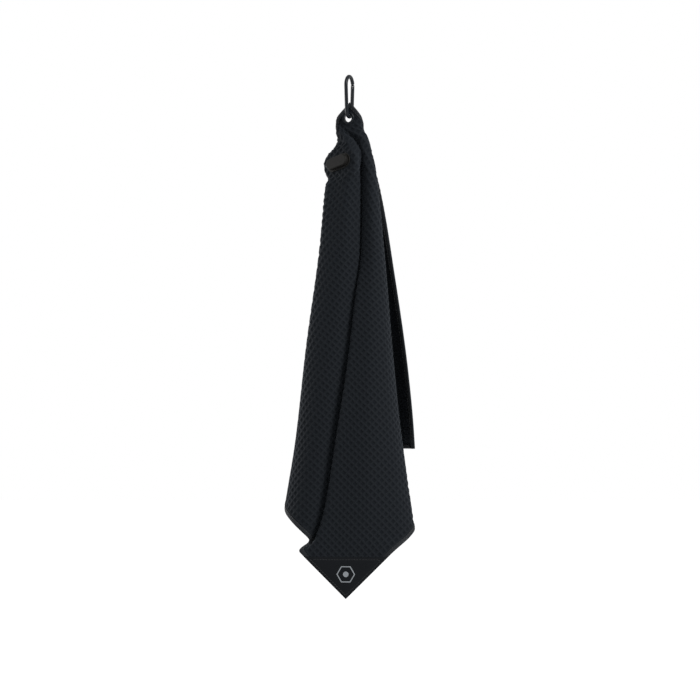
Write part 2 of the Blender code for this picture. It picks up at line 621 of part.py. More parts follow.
# ---------------------------------------------------------------- towel
MICROFIBRE = ((0.030, 0.033, 0.038), 0.90, 0.0)
HEM_TAPE = ((0.022, 0.024, 0.028), 0.80, 0.0)
SMOOTH_PATCH = ((0.024, 0.026, 0.029), 0.55, 0.0)
PALE_PRINT = ((0.45, 0.46, 0.48), 0.60, 0.0)
SOFT_TOUCH = ((0.045, 0.044, 0.043), 0.50, 0.0)
NICKEL = ((0.60, 0.60, 0.58), 0.25, 1.0)
HEM_CORE = TAPE_THICK + 3 * CLEARANCE   # the cloth ends this far inside the tape's outer edge


def grid_lines():
    """Flat coordinates of the cloth's grid lines, with lines at tape, eyelet and patch edges."""
    before = EYELET_INSET - 0.7 * EYELET_PAD
    start = [HEM_CORE, TAPE_WIDTH + CLEARANCE, before, EYELET_INSET, EYELET_INSET + EYELET_PAD]
    patch = TOWEL_SIDE - PATCH_LEG - CLEARANCE
    last = TOWEL_SIDE - TAPE_WIDTH - CLEARANCE
    neck = start[-1] + NECK_STEP * np.arange(1, NECK_GRID + 1)
    field = np.linspace(neck[-1], patch, GRID)[1:]
    end = np.linspace(patch, last, PATCH_GRID)[1:]
    return np.concatenate((start, neck, field, end, (TOWEL_SIDE - HEM_CORE,)))


def split_quad(a, b, c, d, slant):
    """A four-sided face as two triangles, along a-c or along b-d."""
    return [(a, b, c), (a, c, d)] if slant else [(a, b, d), (b, c, d)]


def slab(name, u, v, height, look, parent):
    """A closed sheet over a grid of flat points, height thick to each side of the middle surface."""
    middle, out = surface(u, v)
    offset = height[..., None] * out
    rows, columns = u.shape
    front = (middle + offset).reshape(-1, 3)
    back = (middle - offset).reshape(-1, 3)
    count = rows * columns
    faces = []
    for i in range(rows - 1):
        for j in range(columns - 1):
            a = i * columns + j
            for face in split_quad(a, a + 1, a + columns + 1, a + columns, True):
                faces.append(face)
                faces.append(tuple(count + k for k in reversed(face)))
    rim = list(range(columns))
    rim += [i * columns + columns - 1 for i in range(1, rows)]
    rim += [(rows - 1) * columns + j for j in reversed(range(columns - 1))]
    rim += [i * columns for i in reversed(range(1, rows - 1))]
    for a, b in zip(rim, rim[1:] + rim[:1]):
        faces.append((b, a, count + a, count + b))
    return solid(name, np.vstack((front, back)), faces, look, parent)


def make_cloth(swing):
    """The waffle square, with its eyelet hole."""
    lines = grid_lines()
    u, v = np.meshgrid(lines, lines, indexing="ij")
    from_edge = np.minimum(np.minimum(u, v), TOWEL_SIDE - np.maximum(u, v))
    under_tape = from_edge < TAPE_WIDTH + 2 * CLEARANCE
    height = HALF_CLOTH * np.where(under_tape, HEM_PRESSED, 1.0)
    cloth = slab("towel_cloth", u, v, height, MICROFIBRE, swing)
    hole = pin([(CLOTH_HOLE_R, -0.004), (CLOTH_HOLE_R, 0.004)], EYELET_AT, BOW_AXIS, UP, 24)
    cut(cloth, cutter("eyelet_hole", *hole, swing))


def hem_tape(name, start, end, inward, swing):
    """A tape folded round one edge, from flat point start to end; inward is its flat direction.

    Its stations and face diagonals follow the cloth's grid, so that both fold alike.
    """
    run = 0 if start[0] != end[0] else 1
    lines = grid_lines()
    inner = lines[(lines > start[run] + 0.001) & (lines < end[run] - 0.001)]
    stations = np.concatenate(((start[run],), inner, (end[run],)))
    u = stations if run == 0 else np.full_like(stations, start[0])
    v = stations if run == 1 else np.full_like(stations, start[1])
    inside = TAPE_SET * HALF_CLOTH + CLEARANCE
    outside = inside + TAPE_THICK
    outline = [(0.0, -outside), (TAPE_WIDTH, -outside), (TAPE_WIDTH, -inside), (TAPE_THICK, -inside),
               (TAPE_THICK, inside), (TAPE_WIDTH, inside), (TAPE_WIDTH, outside), (0.0, outside)]
    near_line = HEM_CORE
    far_line = TAPE_WIDTH + CLEARANCE
    near, near_out = surface(u + near_line * inward[0], v + near_line * inward[1])
    far, far_out = surface(u + far_line * inward[0], v + far_line * inward[1])
    columns = []
    for reach, height in outline:
        share = (reach - near_line) / (far_line - near_line)
        columns.append((near + height * near_out) * (1 - share) + (far + height * far_out) * share)
    points = np.stack(columns, axis=1)
    sides = len(outline)
    ascending = sum(inward) > 0
    faces = []
    for i in range(len(stations) - 1):
        for j in range(sides):
            k = (j + 1) % sides
            outward_run = outline[k][0] > outline[j][0]
            faces += split_quad(i * sides + j, i * sides + k, (i + 1) * sides + k, (i + 1) * sides + j,
                                outward_run == ascending)
    faces.append(tuple(reversed(range(sides))))
    faces.append(tuple(range((len(stations) - 1) * sides, len(stations) * sides)))
    into = (points[:, 1] - points[:, 0])[:-1]
    lifted = (points[:, -1] - points[:, 0])[:-1]
    if np.sum(np.cross(into, lifted) * np.diff(points[:, 0], axis=0)) < 0.0:
        faces = [face[::-1] for face in faces]
    solid(name, points.reshape(-1, 3), faces, HEM_TAPE, swing)


def make_hem(swing):
    """Four tapes; the upper pair runs through, the lower pair stops at the patch."""
    past = TAPE_WIDTH + 5 * CLEARANCE
    patch_from = TOWEL_SIDE - PATCH_LEG - CLEARANCE
    hem_tape("hem_tape_upper_left", (0.0, 0.0), (0.0, TOWEL_SIDE), (1, 0), swing)
    hem_tape("hem_tape_upper_right", (past, 0.0), (TOWEL_SIDE, 0.0), (0, 1), swing)
    hem_tape("hem_tape_lower_left", (past, TOWEL_SIDE), (patch_from, TOWEL_SIDE), (0, -1), swing)
    hem_tape("hem_tape_lower_right", (TOWEL_SIDE, past), (TOWEL_SIDE, patch_from), (-1, 0), swing)


def triangle_slab(name, low, high, swing):
    """One face of the corner patch between two heights off the cloth's middle surface."""
    rows = 8
    flat = []
    for i in range(rows + 1):
        for j in range(rows + 1 - i):
            flat.append((TOWEL_SIDE - PATCH_LEG * i / rows, TOWEL_SIDE - PATCH_LEG * j / rows))
    flat = np.array(flat)
    middle, out = surface(flat[:, 0], flat[:, 1])
    place = {}
    for i in range(rows + 1):
        for j in range(rows + 1 - i):
            place[i, j] = len(place)
    count = len(place)
    faces = []
    for i in range(rows):
        for j in range(rows - i):
            tris = [(place[i, j], place[i, j + 1], place[i + 1, j])]
            if j < rows - i - 1:
                tris.append((place[i, j + 1], place[i + 1, j + 1], place[i + 1, j]))
            for tri in tris:
                faces.append(tri)
                faces.append(tuple(count + k for k in reversed(tri)))
    rim = [place[0, j] for j in range(rows + 1)]
    rim += [place[i, rows - i] for i in range(1, rows + 1)]
    rim += [place[i, 0] for i in reversed(range(1, rows))]
    for a, b in zip(rim, rim[1:] + rim[:1]):
        faces.append((b, a, count + a, count + b))
    points = np.vstack((middle + high * out, middle + low * out))
    solid(name, points, faces, SMOOTH_PATCH, swing)


def make_patch(swing):
    """Smooth triangles on both faces of the bottom corner, and the plain raised emblem."""
    inner = HALF_CLOTH + CLEARANCE
    outer = inner + PATCH_THICK
    triangle_slab("corner_patch_front", inner, outer, swing)
    triangle_slab("corner_patch_back", -outer, -inner, swing)
    low = outer + CLEARANCE
    high = low + EMBLEM_THICK
    centre = TOWEL_SIDE - EMBLEM_FROM_TIP / math.sqrt(2)
    here, side_u, side_v, out = tangent_frame(drape, centre, centre)
    right = unit(side_u - side_v)
    down = unit(side_u + side_v)
    frame = [(EMBLEM_R - EMBLEM_BAND, low), (EMBLEM_R, low), (EMBLEM_R, high), (EMBLEM_R - EMBLEM_BAND, high)]
    solid("emblem_frame", *turned(frame, here, out, right, 6), PALE_PRINT, swing)
    dot_r = 0.30 * EMBLEM_R
    solid("emblem_dot", *pin([(dot_r, low), (dot_r, high)], here, out, down, 18), PALE_PRINT, swing)


def make_eyelet(swing):
    """The eyelet, set through the cloth, and the washer that it is closed over."""
    near = HALF_CLOTH + CLEARANCE
    washer = near + PLATE
    lip = washer + CLEARANCE
    profile = [(EYELET_HOLE_R, -near - 0.6 * PLATE), (EYELET_HOLE_R + 0.5 * PLATE, -near - PLATE),
               (FLANGE_R - 0.5 * PLATE, -near - PLATE), (FLANGE_R, -near - 0.4 * PLATE), (FLANGE_R, -near),
               (BARREL_R, -near), (BARREL_R, lip), (BARREL_R + PLATE, lip),
               (BARREL_R + 0.8 * PLATE, lip + 0.5 * PLATE), (EYELET_HOLE_R, lip + 0.5 * PLATE)]
    solid("eyelet", *turned(profile, EYELET_AT, BOW_AXIS, UP, 32), BLACK_METAL, swing)
    hole = BARREL_R + CLEARANCE
    ring = [(hole, near), (FLANGE_R, near), (FLANGE_R, near + 0.5 * PLATE), (FLANGE_R - 0.3 * PLATE, washer),
            (hole, washer)]
    solid("eyelet_washer", *turned(ring, EYELET_AT, BOW_AXIS, UP, 32), BLACK_METAL, swing)


def stadium(length, height, sides=24):
    """A rounded outline with straight top and bottom."""
    radius = height / 2
    outline = []
    for k in range(sides):
        turn = 2 * math.pi * (k + 0.5) / sides
        shift = math.copysign(length / 2 - radius, math.cos(turn))
        outline.append((shift + radius * math.cos(turn), radius * math.sin(turn)))
    return outline


def stacked(layers, centre, axes):
    """Points and faces of stadium outlines (length, height, level) stacked along the third axis."""
    points = []
    for length, height, level in layers:
        points.extend(centre + x * axes[0] + y * axes[1] + level * axes[2] for x, y in stadium(length, height))
    return points, ring_faces(len(layers), 24)


def make_magnet(swing):
    """The magnet pad on the cloth's face and the backing plate behind it."""
    here, _, _, out = MAGNET_FRAME
    rising = np.array((math.cos(MAGNET_TILT), 0.0, math.sin(MAGNET_TILT)))
    length_axis = unit(rising - np.dot(rising, out) * out)
    height_axis = np.cross(out, length_axis)
    axes = (length_axis, height_axis, out)
    base = HALF_CLOTH + CLEARANCE
    rim = base + FLANGE_THICK
    solid("magnet_flange", *stacked([(MAGNET_LENGTH, MAGNET_HEIGHT, base),
                                     (MAGNET_LENGTH, MAGNET_HEIGHT, rim - 0.0003),
                                     (MAGNET_LENGTH - 0.0006, MAGNET_HEIGHT - 0.0006, rim)], here, axes),
          SOFT_TOUCH, swing)
    length = MAGNET_LENGTH - 2 * FLANGE_RIM
    height = MAGNET_HEIGHT - 2 * FLANGE_RIM
    foot = rim + CLEARANCE
    top = foot + COVER_HEIGHT
    shell = [(length, height, foot), (length, height, top - 0.0012),
             (length - 0.0007, height - 0.0007, top - 0.0004), (length - 0.0020, height - 0.0020, top)]
    cover = solid("magnet_cover", *stacked(shell, here, axes), SOFT_TOUCH, swing)
    pocket = [(length - 2 * COVER_WALL, height - 2 * COVER_WALL, foot - 0.001),
              (length - 2 * COVER_WALL, height - 2 * COVER_WALL, top - COVER_WALL)]
    cut(cover, cutter("cover_pocket", *stacked(pocket, here, axes), swing))
    low = foot
    high = min(low + MAGNET_THICK, top - COVER_WALL - CLEARANCE)
    radius = min(MAGNET_R, height / 2 - COVER_WALL - CLEARANCE)
    reach = length / 2 - COVER_WALL - CLEARANCE - radius
    for name, side in (("magnet_disc_left", -1), ("magnet_disc_right", 1)):
        centre = here + side * reach * length_axis
        solid(name, *pin([(radius, low), (radius, high)], centre, out, length_axis, 24), NICKEL, swing)
    plate = [(length, height, -base - BACKING_THICK), (length, height, -base)]
    solid("magnet_backing", *stacked(plate, here, axes), SOFT_TOUCH, swing)


def main():
    clear_scene()
    gate_hinge = pivot_empty("gate_hinge", PIVOT)
    towel_swing = pivot_empty("towel_swing", SWING_AT)
    make_carabiner_body()
    make_gate(gate_hinge)
    make_gate_works(gate_hinge)
    make_cloth(towel_swing)
    make_hem(towel_swing)
    make_patch(towel_swing)
    make_eyelet(towel_swing)
    make_magnet(towel_swing)


main()
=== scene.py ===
# %% [markdown]
# # A golf towel on a snap carabiner
# The towel is a square of waffle microfibre that hangs by one corner from a small black
# carabiner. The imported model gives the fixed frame: where each piece is and what moves. This
# file keeps the hard parts of that frame and gives them a finish, and puts finely modelled
# cloth, hems, patches and a magnet pad in the place of the plain soft solids.

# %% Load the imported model
import json
import math

import bpy
import numpy as np
from mathutils import Matrix, Vector

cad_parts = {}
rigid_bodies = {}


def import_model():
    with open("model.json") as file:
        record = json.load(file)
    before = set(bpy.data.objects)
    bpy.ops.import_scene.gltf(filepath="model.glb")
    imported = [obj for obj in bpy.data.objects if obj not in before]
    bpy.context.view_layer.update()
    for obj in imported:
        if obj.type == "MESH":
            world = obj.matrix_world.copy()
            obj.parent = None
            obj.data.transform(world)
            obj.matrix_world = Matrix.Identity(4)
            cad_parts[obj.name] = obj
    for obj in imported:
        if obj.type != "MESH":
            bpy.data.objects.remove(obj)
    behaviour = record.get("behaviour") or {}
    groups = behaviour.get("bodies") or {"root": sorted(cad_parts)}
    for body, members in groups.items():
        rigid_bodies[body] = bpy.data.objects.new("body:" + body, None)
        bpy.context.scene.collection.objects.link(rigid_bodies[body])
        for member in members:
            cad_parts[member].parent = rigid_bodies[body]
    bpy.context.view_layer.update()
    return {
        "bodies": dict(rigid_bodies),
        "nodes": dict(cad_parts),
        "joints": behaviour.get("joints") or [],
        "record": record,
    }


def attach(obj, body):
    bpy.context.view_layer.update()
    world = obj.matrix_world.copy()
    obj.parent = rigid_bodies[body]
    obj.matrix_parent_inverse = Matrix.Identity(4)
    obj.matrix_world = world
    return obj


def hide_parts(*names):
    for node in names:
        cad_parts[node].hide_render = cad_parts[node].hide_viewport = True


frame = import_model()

# %% [markdown]
# ## Sizes
# The towel's pieces all follow from a few sizes: the flat square, where the eyelet sits in it,
# the hem tape, the corner patch and the magnet pad. They are the same sizes that the packed
# solids were made with, in metres, so a fine piece lies where its plain solid lay.

# %% Sizes of the towel and its fittings
ROD_R = 0.0021
TOWEL_SIDE = 0.400
CLOTH_THICK = 0.0020
HALF_CLOTH = CLOTH_THICK / 2
CLEARANCE = 0.0003
EYELET_INSET = 0.0140
EYELET_PAD = 0.0080
EYELET_PLAY = 0.0025
CORNER_BEND_R = 0.0013
CORNER_BEND = math.radians(176)
CORNER_LEAN = math.radians(46.5)
CLOTH_HOLE_R = ROD_R + EYELET_PLAY + 0.0009
FLANGE_R = CLOTH_HOLE_R + 0.0018
TAPE_WIDTH = 0.0048
HEM_CORE = 0.0013
PATCH_LEG = 0.0670
MAGNET_LENGTH = 0.0330
MAGNET_HEIGHT = 0.0168
MAGNET_DROP = 0.0520
MAGNET_ASIDE = math.radians(22.0)
MAGNET_TILT = math.radians(9.0)
LOOP_YAW = math.radians(21.7)
BOW_AXIS = np.array((math.sin(LOOP_YAW), math.cos(LOOP_YAW), 0.0))
ACROSS = np.array((math.cos(LOOP_YAW), -math.sin(LOOP_YAW), 0.0))
UP = np.array((0.0, 0.0, 1.0))
SWING_AT = np.array((0.0, 0.0, -0.0437))
EYELET_ASIDE = 0.45         # where the rod bears in the eyelet, as shares of its play
EYELET_DOWN = 0.52
EYELET_AT = SWING_AT - ACROSS * EYELET_ASIDE * EYELET_PLAY - UP * EYELET_DOWN * EYELET_PLAY
HANG = math.sqrt(2) * (TOWEL_SIDE - EYELET_INSET)
print("eyelet to tip along the diagonal", round(HANG, 4))

# %% [markdown]
# ## How the cloth hangs
# A square that hangs by a corner gathers at the eyelet and falls in long folds. One way to get
# them is a cloth simulation, but it would find its own folds, and these have known places. So
# the folds are drawn as a dressmaker would pin them: each is a line down the towel, given as
# its distance below the eyelet and its place across or in depth.

# %% Fold lines
FOLD_LENGTH = 0.5463
LEFT_FOLD = ((0.010, -0.005), (0.042, -0.017), (0.075, -0.0247), (0.150, -0.0315),
             (0.263, -0.0465), (0.370, -0.0586), (0.450, -0.0712), (0.580, -0.088))
RIGHT_FOLD = ((0.010, 0.013), (0.042, 0.025), (0.075, 0.0318), (0.150, 0.0392),
              (0.320, 0.0535), (0.482, 0.0746), (0.580, 0.091))
FRONT_FOLD = ((0.010, 0.008), (0.042, 0.0145), (0.075, 0.0176), (0.150, 0.016),
              (0.205, 0.0082), (0.263, 0.0017), (0.370, -0.0142), (0.450, -0.0275),
              (0.490, -0.0415), (0.580, -0.075))
LEFT_EDGE = ((0.010, -0.007), (0.030, -0.003), (0.042, 0.010), (0.058, 0.026),
             (0.077, 0.0335), (0.190, 0.0533), (0.304, 0.069), (0.372, 0.0752),
             (0.580, 0.085))
DIAGONAL_ARC = ((0.0, 0.0), (0.075, 0.044), (0.150, 0.068), (0.263, 0.065),
                (0.370, 0.069), (0.482, 0.0815), (0.580, 0.096))
BIAS_STRETCH = ((0.0, 1.0), (0.320, 1.0), (0.482, 1.05), (0.580, 1.05))
LEFT_TURN = ((0.010, 0.003), (0.050, 0.0055), (0.150, 0.0055), (0.370, 0.009),
             (0.580, 0.012))
PANEL_BULGE = ((0.010, 0.0), (0.050, 0.0010), (0.150, -0.0025), (0.370, -0.0047),
               (0.580, -0.006))
RIDGE_DEPTH = ((0.010, 0.002), (0.075, 0.0075), (0.150, 0.0115), (0.370, 0.0225),
               (0.580, 0.018))
FOLD_DEPTH = ((0.010, 0.001), (0.075, 0.001), (0.150, 0.003), (0.205, 0.0085),
              (0.370, 0.0145), (0.580, 0.014))
VALLEY_UNDER = ((0.010, -0.003), (0.075, -0.0035), (0.150, -0.0015), (0.205, 0.004),
                (0.370, 0.010), (0.580, 0.012))
VALLEY_DEPTH = ((0.010, 0.002), (0.075, 0.004), (0.150, 0.007), (0.205, 0.003),
                (0.263, 0.0), (0.370, -0.003), (0.580, -0.004))
PANEL_EDGE = ((0.010, -0.006), (0.075, -0.0068), (0.150, -0.0052), (0.205, -0.002),
              (0.370, 0.0), (0.580, 0.0))
FLAP_DEPTH = ((0.010, 0.0170), (0.028, 0.0140), (0.042, 0.0110), (0.075, 0.0115),
              (0.150, 0.014), (0.580, 0.014))
BACK_DEPTH = ((0.010, 0.022), (0.028, 0.0200), (0.042, 0.0185), (0.075, 0.0215),
              (0.150, 0.034), (0.370, 0.075), (0.580, 0.092))
PLEAT_DEPTH = ((0.060, 0.0), (0.150, 0.004), (0.370, 0.0145), (0.580, 0.016))
FORWARD = ((0.0, 0.0), (0.075, 0.004), (0.370, 0.028), (0.580, 0.030))
FLAP_STEP = 0.0160          # depth between two passes of the hidden flap
SPAN_STEPS = 10             # samples between two points of a section
SECTIONS = np.concatenate((np.linspace(0.004, 0.060, 15), np.linspace(0.065, 0.580, 80)))

# %% [markdown]
# The fold lines are read with a curve that never swings past its points, so a fold that is
# drawn straight stays straight.

# %% Read a fold line
def ramp(value, low, high):
    """Smooth step from 0 at low to 1 at high."""
    t = np.clip((value - low) / (high - low), 0.0, 1.0)
    return t * t * (3.0 - 2.0 * t)


def along(table, r):
    """Read a fold line at r with a monotone cubic through its points."""
    keys = np.array([point[0] for point in table])
    values = np.array([point[1] for point in table])
    gaps = np.diff(keys)
    slopes = np.diff(values) / gaps
    tangents = np.zeros_like(values)
    product = slopes[:-1] * slopes[1:]
    total = slopes[:-1] + slopes[1:]
    same_way = product > 0.0
    tangents[1:-1][same_way] = 2.0 * product[same_way] / total[same_way]
    tangents[0] = slopes[0]
    tangents[-1] = slopes[-1]
    r = np.clip(r, keys[0], keys[-1])
    i = np.clip(np.searchsorted(keys, r) - 1, 0, len(keys) - 2)
    t = (r - keys[i]) / gaps[i]
    start = ((2 * t ** 3 - 3 * t ** 2 + 1) * values[i]
             + (t ** 3 - 2 * t ** 2 + t) * gaps[i] * tangents[i])
    end = ((3 * t ** 2 - 2 * t ** 3) * values[i + 1]
           + (t ** 3 - t ** 2) * gaps[i] * tangents[i + 1])
    return start + end

# %% [markdown]
# At each level below the eyelet the cloth makes one long curve in plan: a hidden flap that is
# folded in passes, the front panel, the deep fold, the left panel, and the part that turns
# behind. A smooth line through those points is the section of the folds at that level.

# %% Sections of the folds
def section_points(r):
    """Points of the folded cross-section at r, hidden right flap first, left edge last.

    Returns the points and the places of the right fold and the left fold in the list.
    """
    left = along(LEFT_FOLD, r)
    right = along(RIGHT_FOLD, r)
    front = along(FRONT_FOLD, r)
    edge = along(LEFT_EDGE, r)
    width = right - left
    grown = min(r / 0.370, 1.1)
    pass_1 = along(FLAP_DEPTH, r)
    pass_2 = pass_1 + FLAP_STEP * grown
    pass_3 = pass_2 + FLAP_STEP * grown
    back = along(BACK_DEPTH, r)
    pleat = along(PLEAT_DEPTH, r)
    ridge = -along(RIDGE_DEPTH, r)
    fold = -along(FOLD_DEPTH, r)
    valley = along(VALLEY_DEPTH, r)
    panel = front + along(PANEL_EDGE, r)

    def flap(share, depth):
        return (left + share * width, depth)

    def backed(share, depth):
        return (left + share * (edge - left), depth)

    hidden = [flap(0.22, pass_3), flap(0.50, pass_3), flap(0.78, pass_3),
              flap(0.88, 0.5 * (pass_2 + pass_3)),
              flap(0.80, pass_2), flap(0.50, pass_2), flap(0.24, pass_2),
              flap(0.16, 0.5 * (pass_1 + pass_2)),
              flap(0.24, pass_1), flap(0.52, pass_1), flap(0.82, pass_1),
              flap(0.98, 0.35 * pass_1 + 0.008 * r)]
    front_panel = [(right, -0.005 * r),
                   (right - 0.16 * (right - front), 0.68 * ridge),
                   (right - 0.48 * (right - front), ridge),
                   (right - 0.82 * (right - front), 0.35 * ridge + 0.65 * fold - 0.0015),
                   (front, fold),
                   (front + along(VALLEY_UNDER, r), valley)]
    left_panel = [(panel, 0.2 * valley - 0.0045),
                  (panel - 0.35 * (panel - left), -0.0065 - 0.010 * r),
                  (panel - 0.75 * (panel - left), along(PANEL_BULGE, r)),
                  (left, along(LEFT_TURN, r))]
    behind = [(left + 0.02 * width, 0.45 * back),
              (left + 0.12 * width, 0.92 * back),
              backed(0.31, back - pleat), backed(0.49, back + pleat),
              backed(0.67, back - pleat), backed(0.85, back + 0.8 * pleat),
              (edge, back - 0.35 * pleat)]
    points = hidden + front_panel + left_panel + behind
    return np.array(points), len(hidden), len(hidden) + len(front_panel) + len(left_panel) - 1


def smooth_line(points, steps):
    """Catmull-Rom curve through the points, steps samples to a span."""
    first = 2 * points[0] - points[1]
    last = 2 * points[-1] - points[-2]
    padded = np.vstack((first, points, last))
    t = np.linspace(0.0, 1.0, steps, endpoint=False)[:, None]
    spans = []
    for i in range(1, len(points)):
        a, b, c, d = padded[i - 1:i + 3]
        cubic = (2 * b + (c - a) * t + (2 * a - 5 * b + 4 * c - d) * t ** 2
                 + (3 * b - a - 3 * c + d) * t ** 3)
        spans.append(0.5 * cubic)
    spans.append(padded[-2:-1])
    return np.vstack(spans)

# %% [markdown]
# Cloth doesn't stretch much, so a point keeps its distance from the eyelet and its distance
# along the section. Measuring the section's arc gives the place of every point of the flat
# square.

# %% Lay the flat cloth along the sections
def measured_section(r):
    """The section at r as (curve, arc length, arc of the diagonal, arc of the left fold, ease).

    Ease shares the cloth left behind the left fold over the curve drawn for it.
    """
    points, right_at, left_at = section_points(r)
    curve = smooth_line(points, SPAN_STEPS)
    steps = np.linalg.norm(np.diff(curve, axis=0), axis=1)
    arc = np.concatenate(((0.0,), np.cumsum(steps)))
    diagonal = arc[right_at * SPAN_STEPS] + along(DIAGONAL_ARC, r)
    left_fold = arc[left_at * SPAN_STEPS]
    inset = EYELET_INSET * FOLD_LENGTH / HANG
    whole = r * (math.pi / 4 + math.asin(min(1.0, inset / max(r, inset))))
    needed = max(whole - (left_fold - diagonal), 1e-4)
    return curve, arc, diagonal, left_fold, (arc[-1] - left_fold) / needed


SECTION_CURVES = [measured_section(r) for r in SECTIONS]


def folded(r, theta):
    """Place in plan (x, y) of the cloth at radius r and flat angle theta from the diagonal."""
    level = np.interp(r, SECTIONS, np.arange(len(SECTIONS)))
    lower = np.clip(np.floor(level).astype(int), 0, len(SECTIONS) - 2)
    plan = np.zeros(r.shape + (2,))
    for k in np.unique(lower):
        here = lower == k
        share = (level[here] - k)[:, None]
        ends = []
        above_and_below = list(zip(SECTIONS, SECTION_CURVES))[k:k + 2]
        for own_r, (curve, arc, diagonal, left_fold, ease) in above_and_below:
            s = own_r * theta[here]
            s = np.where(s < 0.0, s * along(BIAS_STRETCH, r[here]), s) + diagonal
            s = np.where(s > left_fold, left_fold + (s - left_fold) * ease, s)
            x = np.interp(s, arc, curve[:, 0])
            y = np.interp(s, arc, curve[:, 1])
            ends.append(np.stack((x, y), -1))
        plan[here] = ends[0] * (1 - share) + ends[1] * share
    return plan

# %% [markdown]
# Above the eyelet the free corner is turned over forward on a sharp bend. Around the eyelet,
# under the stiff magnet pad and in the stiff corner patch the cloth is flat, and blends from
# there into the folds.

# %% The whole drape
CORNER_FROM = 1.04          # where the corner's bend starts, in half widths of the flat cloth
FLAT_TO = 1.4               # the cloth round the eyelet is flat this far, in the same half widths
GATHERED_FROM = 0.030       # and hangs in the drawn folds from this far below it
BESIDE = math.radians(85)   # beside and above the eyelet it stays flat, between these angles
ABOVE = math.radians(150)
LEAST_DROP = 0.35           # no point hangs higher than this share of its distance below the eyelet
MAGNET_STIFF = (0.78, 1.55)  # flat to the first, free from the second, in pad heights
PATCH_STIFF = (1.08, 1.52)  # flat to the first, free from the second, in legs from the tip


def turned_over(beside, above):
    """The flat cloth round the eyelet, with the corner above it bent over forward.

    Takes places across and above the eyelet's centre and returns offsets from it.
    """
    fold_way = math.cos(CORNER_LEAN) * UP - math.sin(CORNER_LEAN) * ACROSS
    fold_line = math.sin(CORNER_LEAN) * UP + math.cos(CORNER_LEAN) * ACROSS
    reach = above * math.cos(CORNER_LEAN) - beside * math.sin(CORNER_LEAN)
    place = above * math.sin(CORNER_LEAN) + beside * math.cos(CORNER_LEAN)
    bend_at = CORNER_FROM * EYELET_PAD
    past = np.maximum(reach - bend_at, 0.0)
    turn = np.minimum(past / CORNER_BEND_R, CORNER_BEND)
    rest = past - turn * CORNER_BEND_R
    height = (np.minimum(reach, bend_at) + CORNER_BEND_R * np.sin(turn)
              + rest * math.cos(CORNER_BEND))
    depth = CORNER_BEND_R * (1 - np.cos(turn)) + rest * math.sin(CORNER_BEND)
    return (height[..., None] * fold_way + place[..., None] * fold_line
            - depth[..., None] * BOW_AXIS)


def free_drape(u, v):
    """Where the flat cloth point (u, v) hangs.

    The eyelet's corner is (0, 0), and u = 0 is the left edge.
    """
    a = u - EYELET_INSET
    b = v - EYELET_INSET
    scale = HANG / FOLD_LENGTH
    r = np.hypot(a, b) / scale
    theta = np.arctan2(b - a, a + b)
    plan = folded(r, theta)
    x = plan[..., 0]
    y = plan[..., 1] - along(FORWARD, r)
    z = -np.sqrt(np.maximum(r * r - x * x - y * y, (LEAST_DROP * r) ** 2))
    gathered = np.stack((x, y, z), -1) * scale
    r = r * scale
    flat = turned_over(-r * np.sin(theta), -r * np.cos(theta))
    below = 1 - ramp(np.abs(theta), BESIDE, ABOVE)
    share = (ramp(r, FLAT_TO * EYELET_PAD, GATHERED_FROM) * below)[..., None]
    return EYELET_AT + flat * (1 - share) + gathered * share


def unit(vector):
    """Vectors made one long."""
    return vector / np.linalg.norm(vector, axis=-1, keepdims=True)


def tangent_frame(place, u, v):
    """Point and unit frame (across u, toward v, outward) of a drape at one flat point."""
    step = 0.001
    here = place(np.array([u]), np.array([v]))[0]
    along_u = (place(np.array([u + step]), np.array([v]))[0]
               - place(np.array([u - step]), np.array([v]))[0])
    along_v = (place(np.array([u]), np.array([v + step]))[0]
               - place(np.array([u]), np.array([v - step]))[0])
    out = unit(np.cross(along_v, along_u))
    out = out if out[1] < 0.0 else -out
    mean = unit(unit(along_u) + unit(along_v))
    side = unit(np.cross(out, mean))
    side = side if np.dot(side, along_u - along_v) > 0.0 else -side
    return here, unit(mean + side), unit(mean - side), out


MAGNET_UV = (EYELET_INSET + MAGNET_DROP * math.cos(math.pi / 4 + MAGNET_ASIDE),
             EYELET_INSET + MAGNET_DROP * math.sin(math.pi / 4 + MAGNET_ASIDE))
MAGNET_FRAME = tangent_frame(free_drape, *MAGNET_UV)
PATCH_UV = (TOWEL_SIDE - PATCH_LEG / 3, TOWEL_SIDE - PATCH_LEG / 3)
PATCH_FRAME = tangent_frame(free_drape, *PATCH_UV)


def on_plane(frame, centre, u, v):
    """The flat map that lays (u, v) on the plane of a frame."""
    here, side_u, side_v, _ = frame
    return here + (u - centre[0])[..., None] * side_u + (v - centre[1])[..., None] * side_v


def magnet_reach(u, v):
    """Distance in the flat cloth from the magnet pad's middle line."""
    du = u - MAGNET_UV[0]
    dv = v - MAGNET_UV[1]
    level = np.abs(du - dv) / math.sqrt(2)
    steep = (du + dv) / math.sqrt(2)
    return np.hypot(np.maximum(level - 0.5 * (MAGNET_LENGTH - MAGNET_HEIGHT), 0), steep)


def drape(u, v):
    """The hanging cloth, flat under the stiff magnet pad and in the stiff corner patch."""
    place = free_drape(u, v)
    reach = magnet_reach(u, v)
    stiff = 1 - ramp(reach, MAGNET_STIFF[0] * MAGNET_HEIGHT, MAGNET_STIFF[1] * MAGNET_HEIGHT)
    stiff = stiff[..., None]
    place = place * (1 - stiff) + on_plane(MAGNET_FRAME, MAGNET_UV, u, v) * stiff
    from_tip = 2 * TOWEL_SIDE - u - v
    stiff = 1 - ramp(from_tip, PATCH_STIFF[0] * PATCH_LEG, PATCH_STIFF[1] * PATCH_LEG)
    stiff = stiff[..., None]
    return place * (1 - stiff) + on_plane(PATCH_FRAME, PATCH_UV, u, v) * stiff


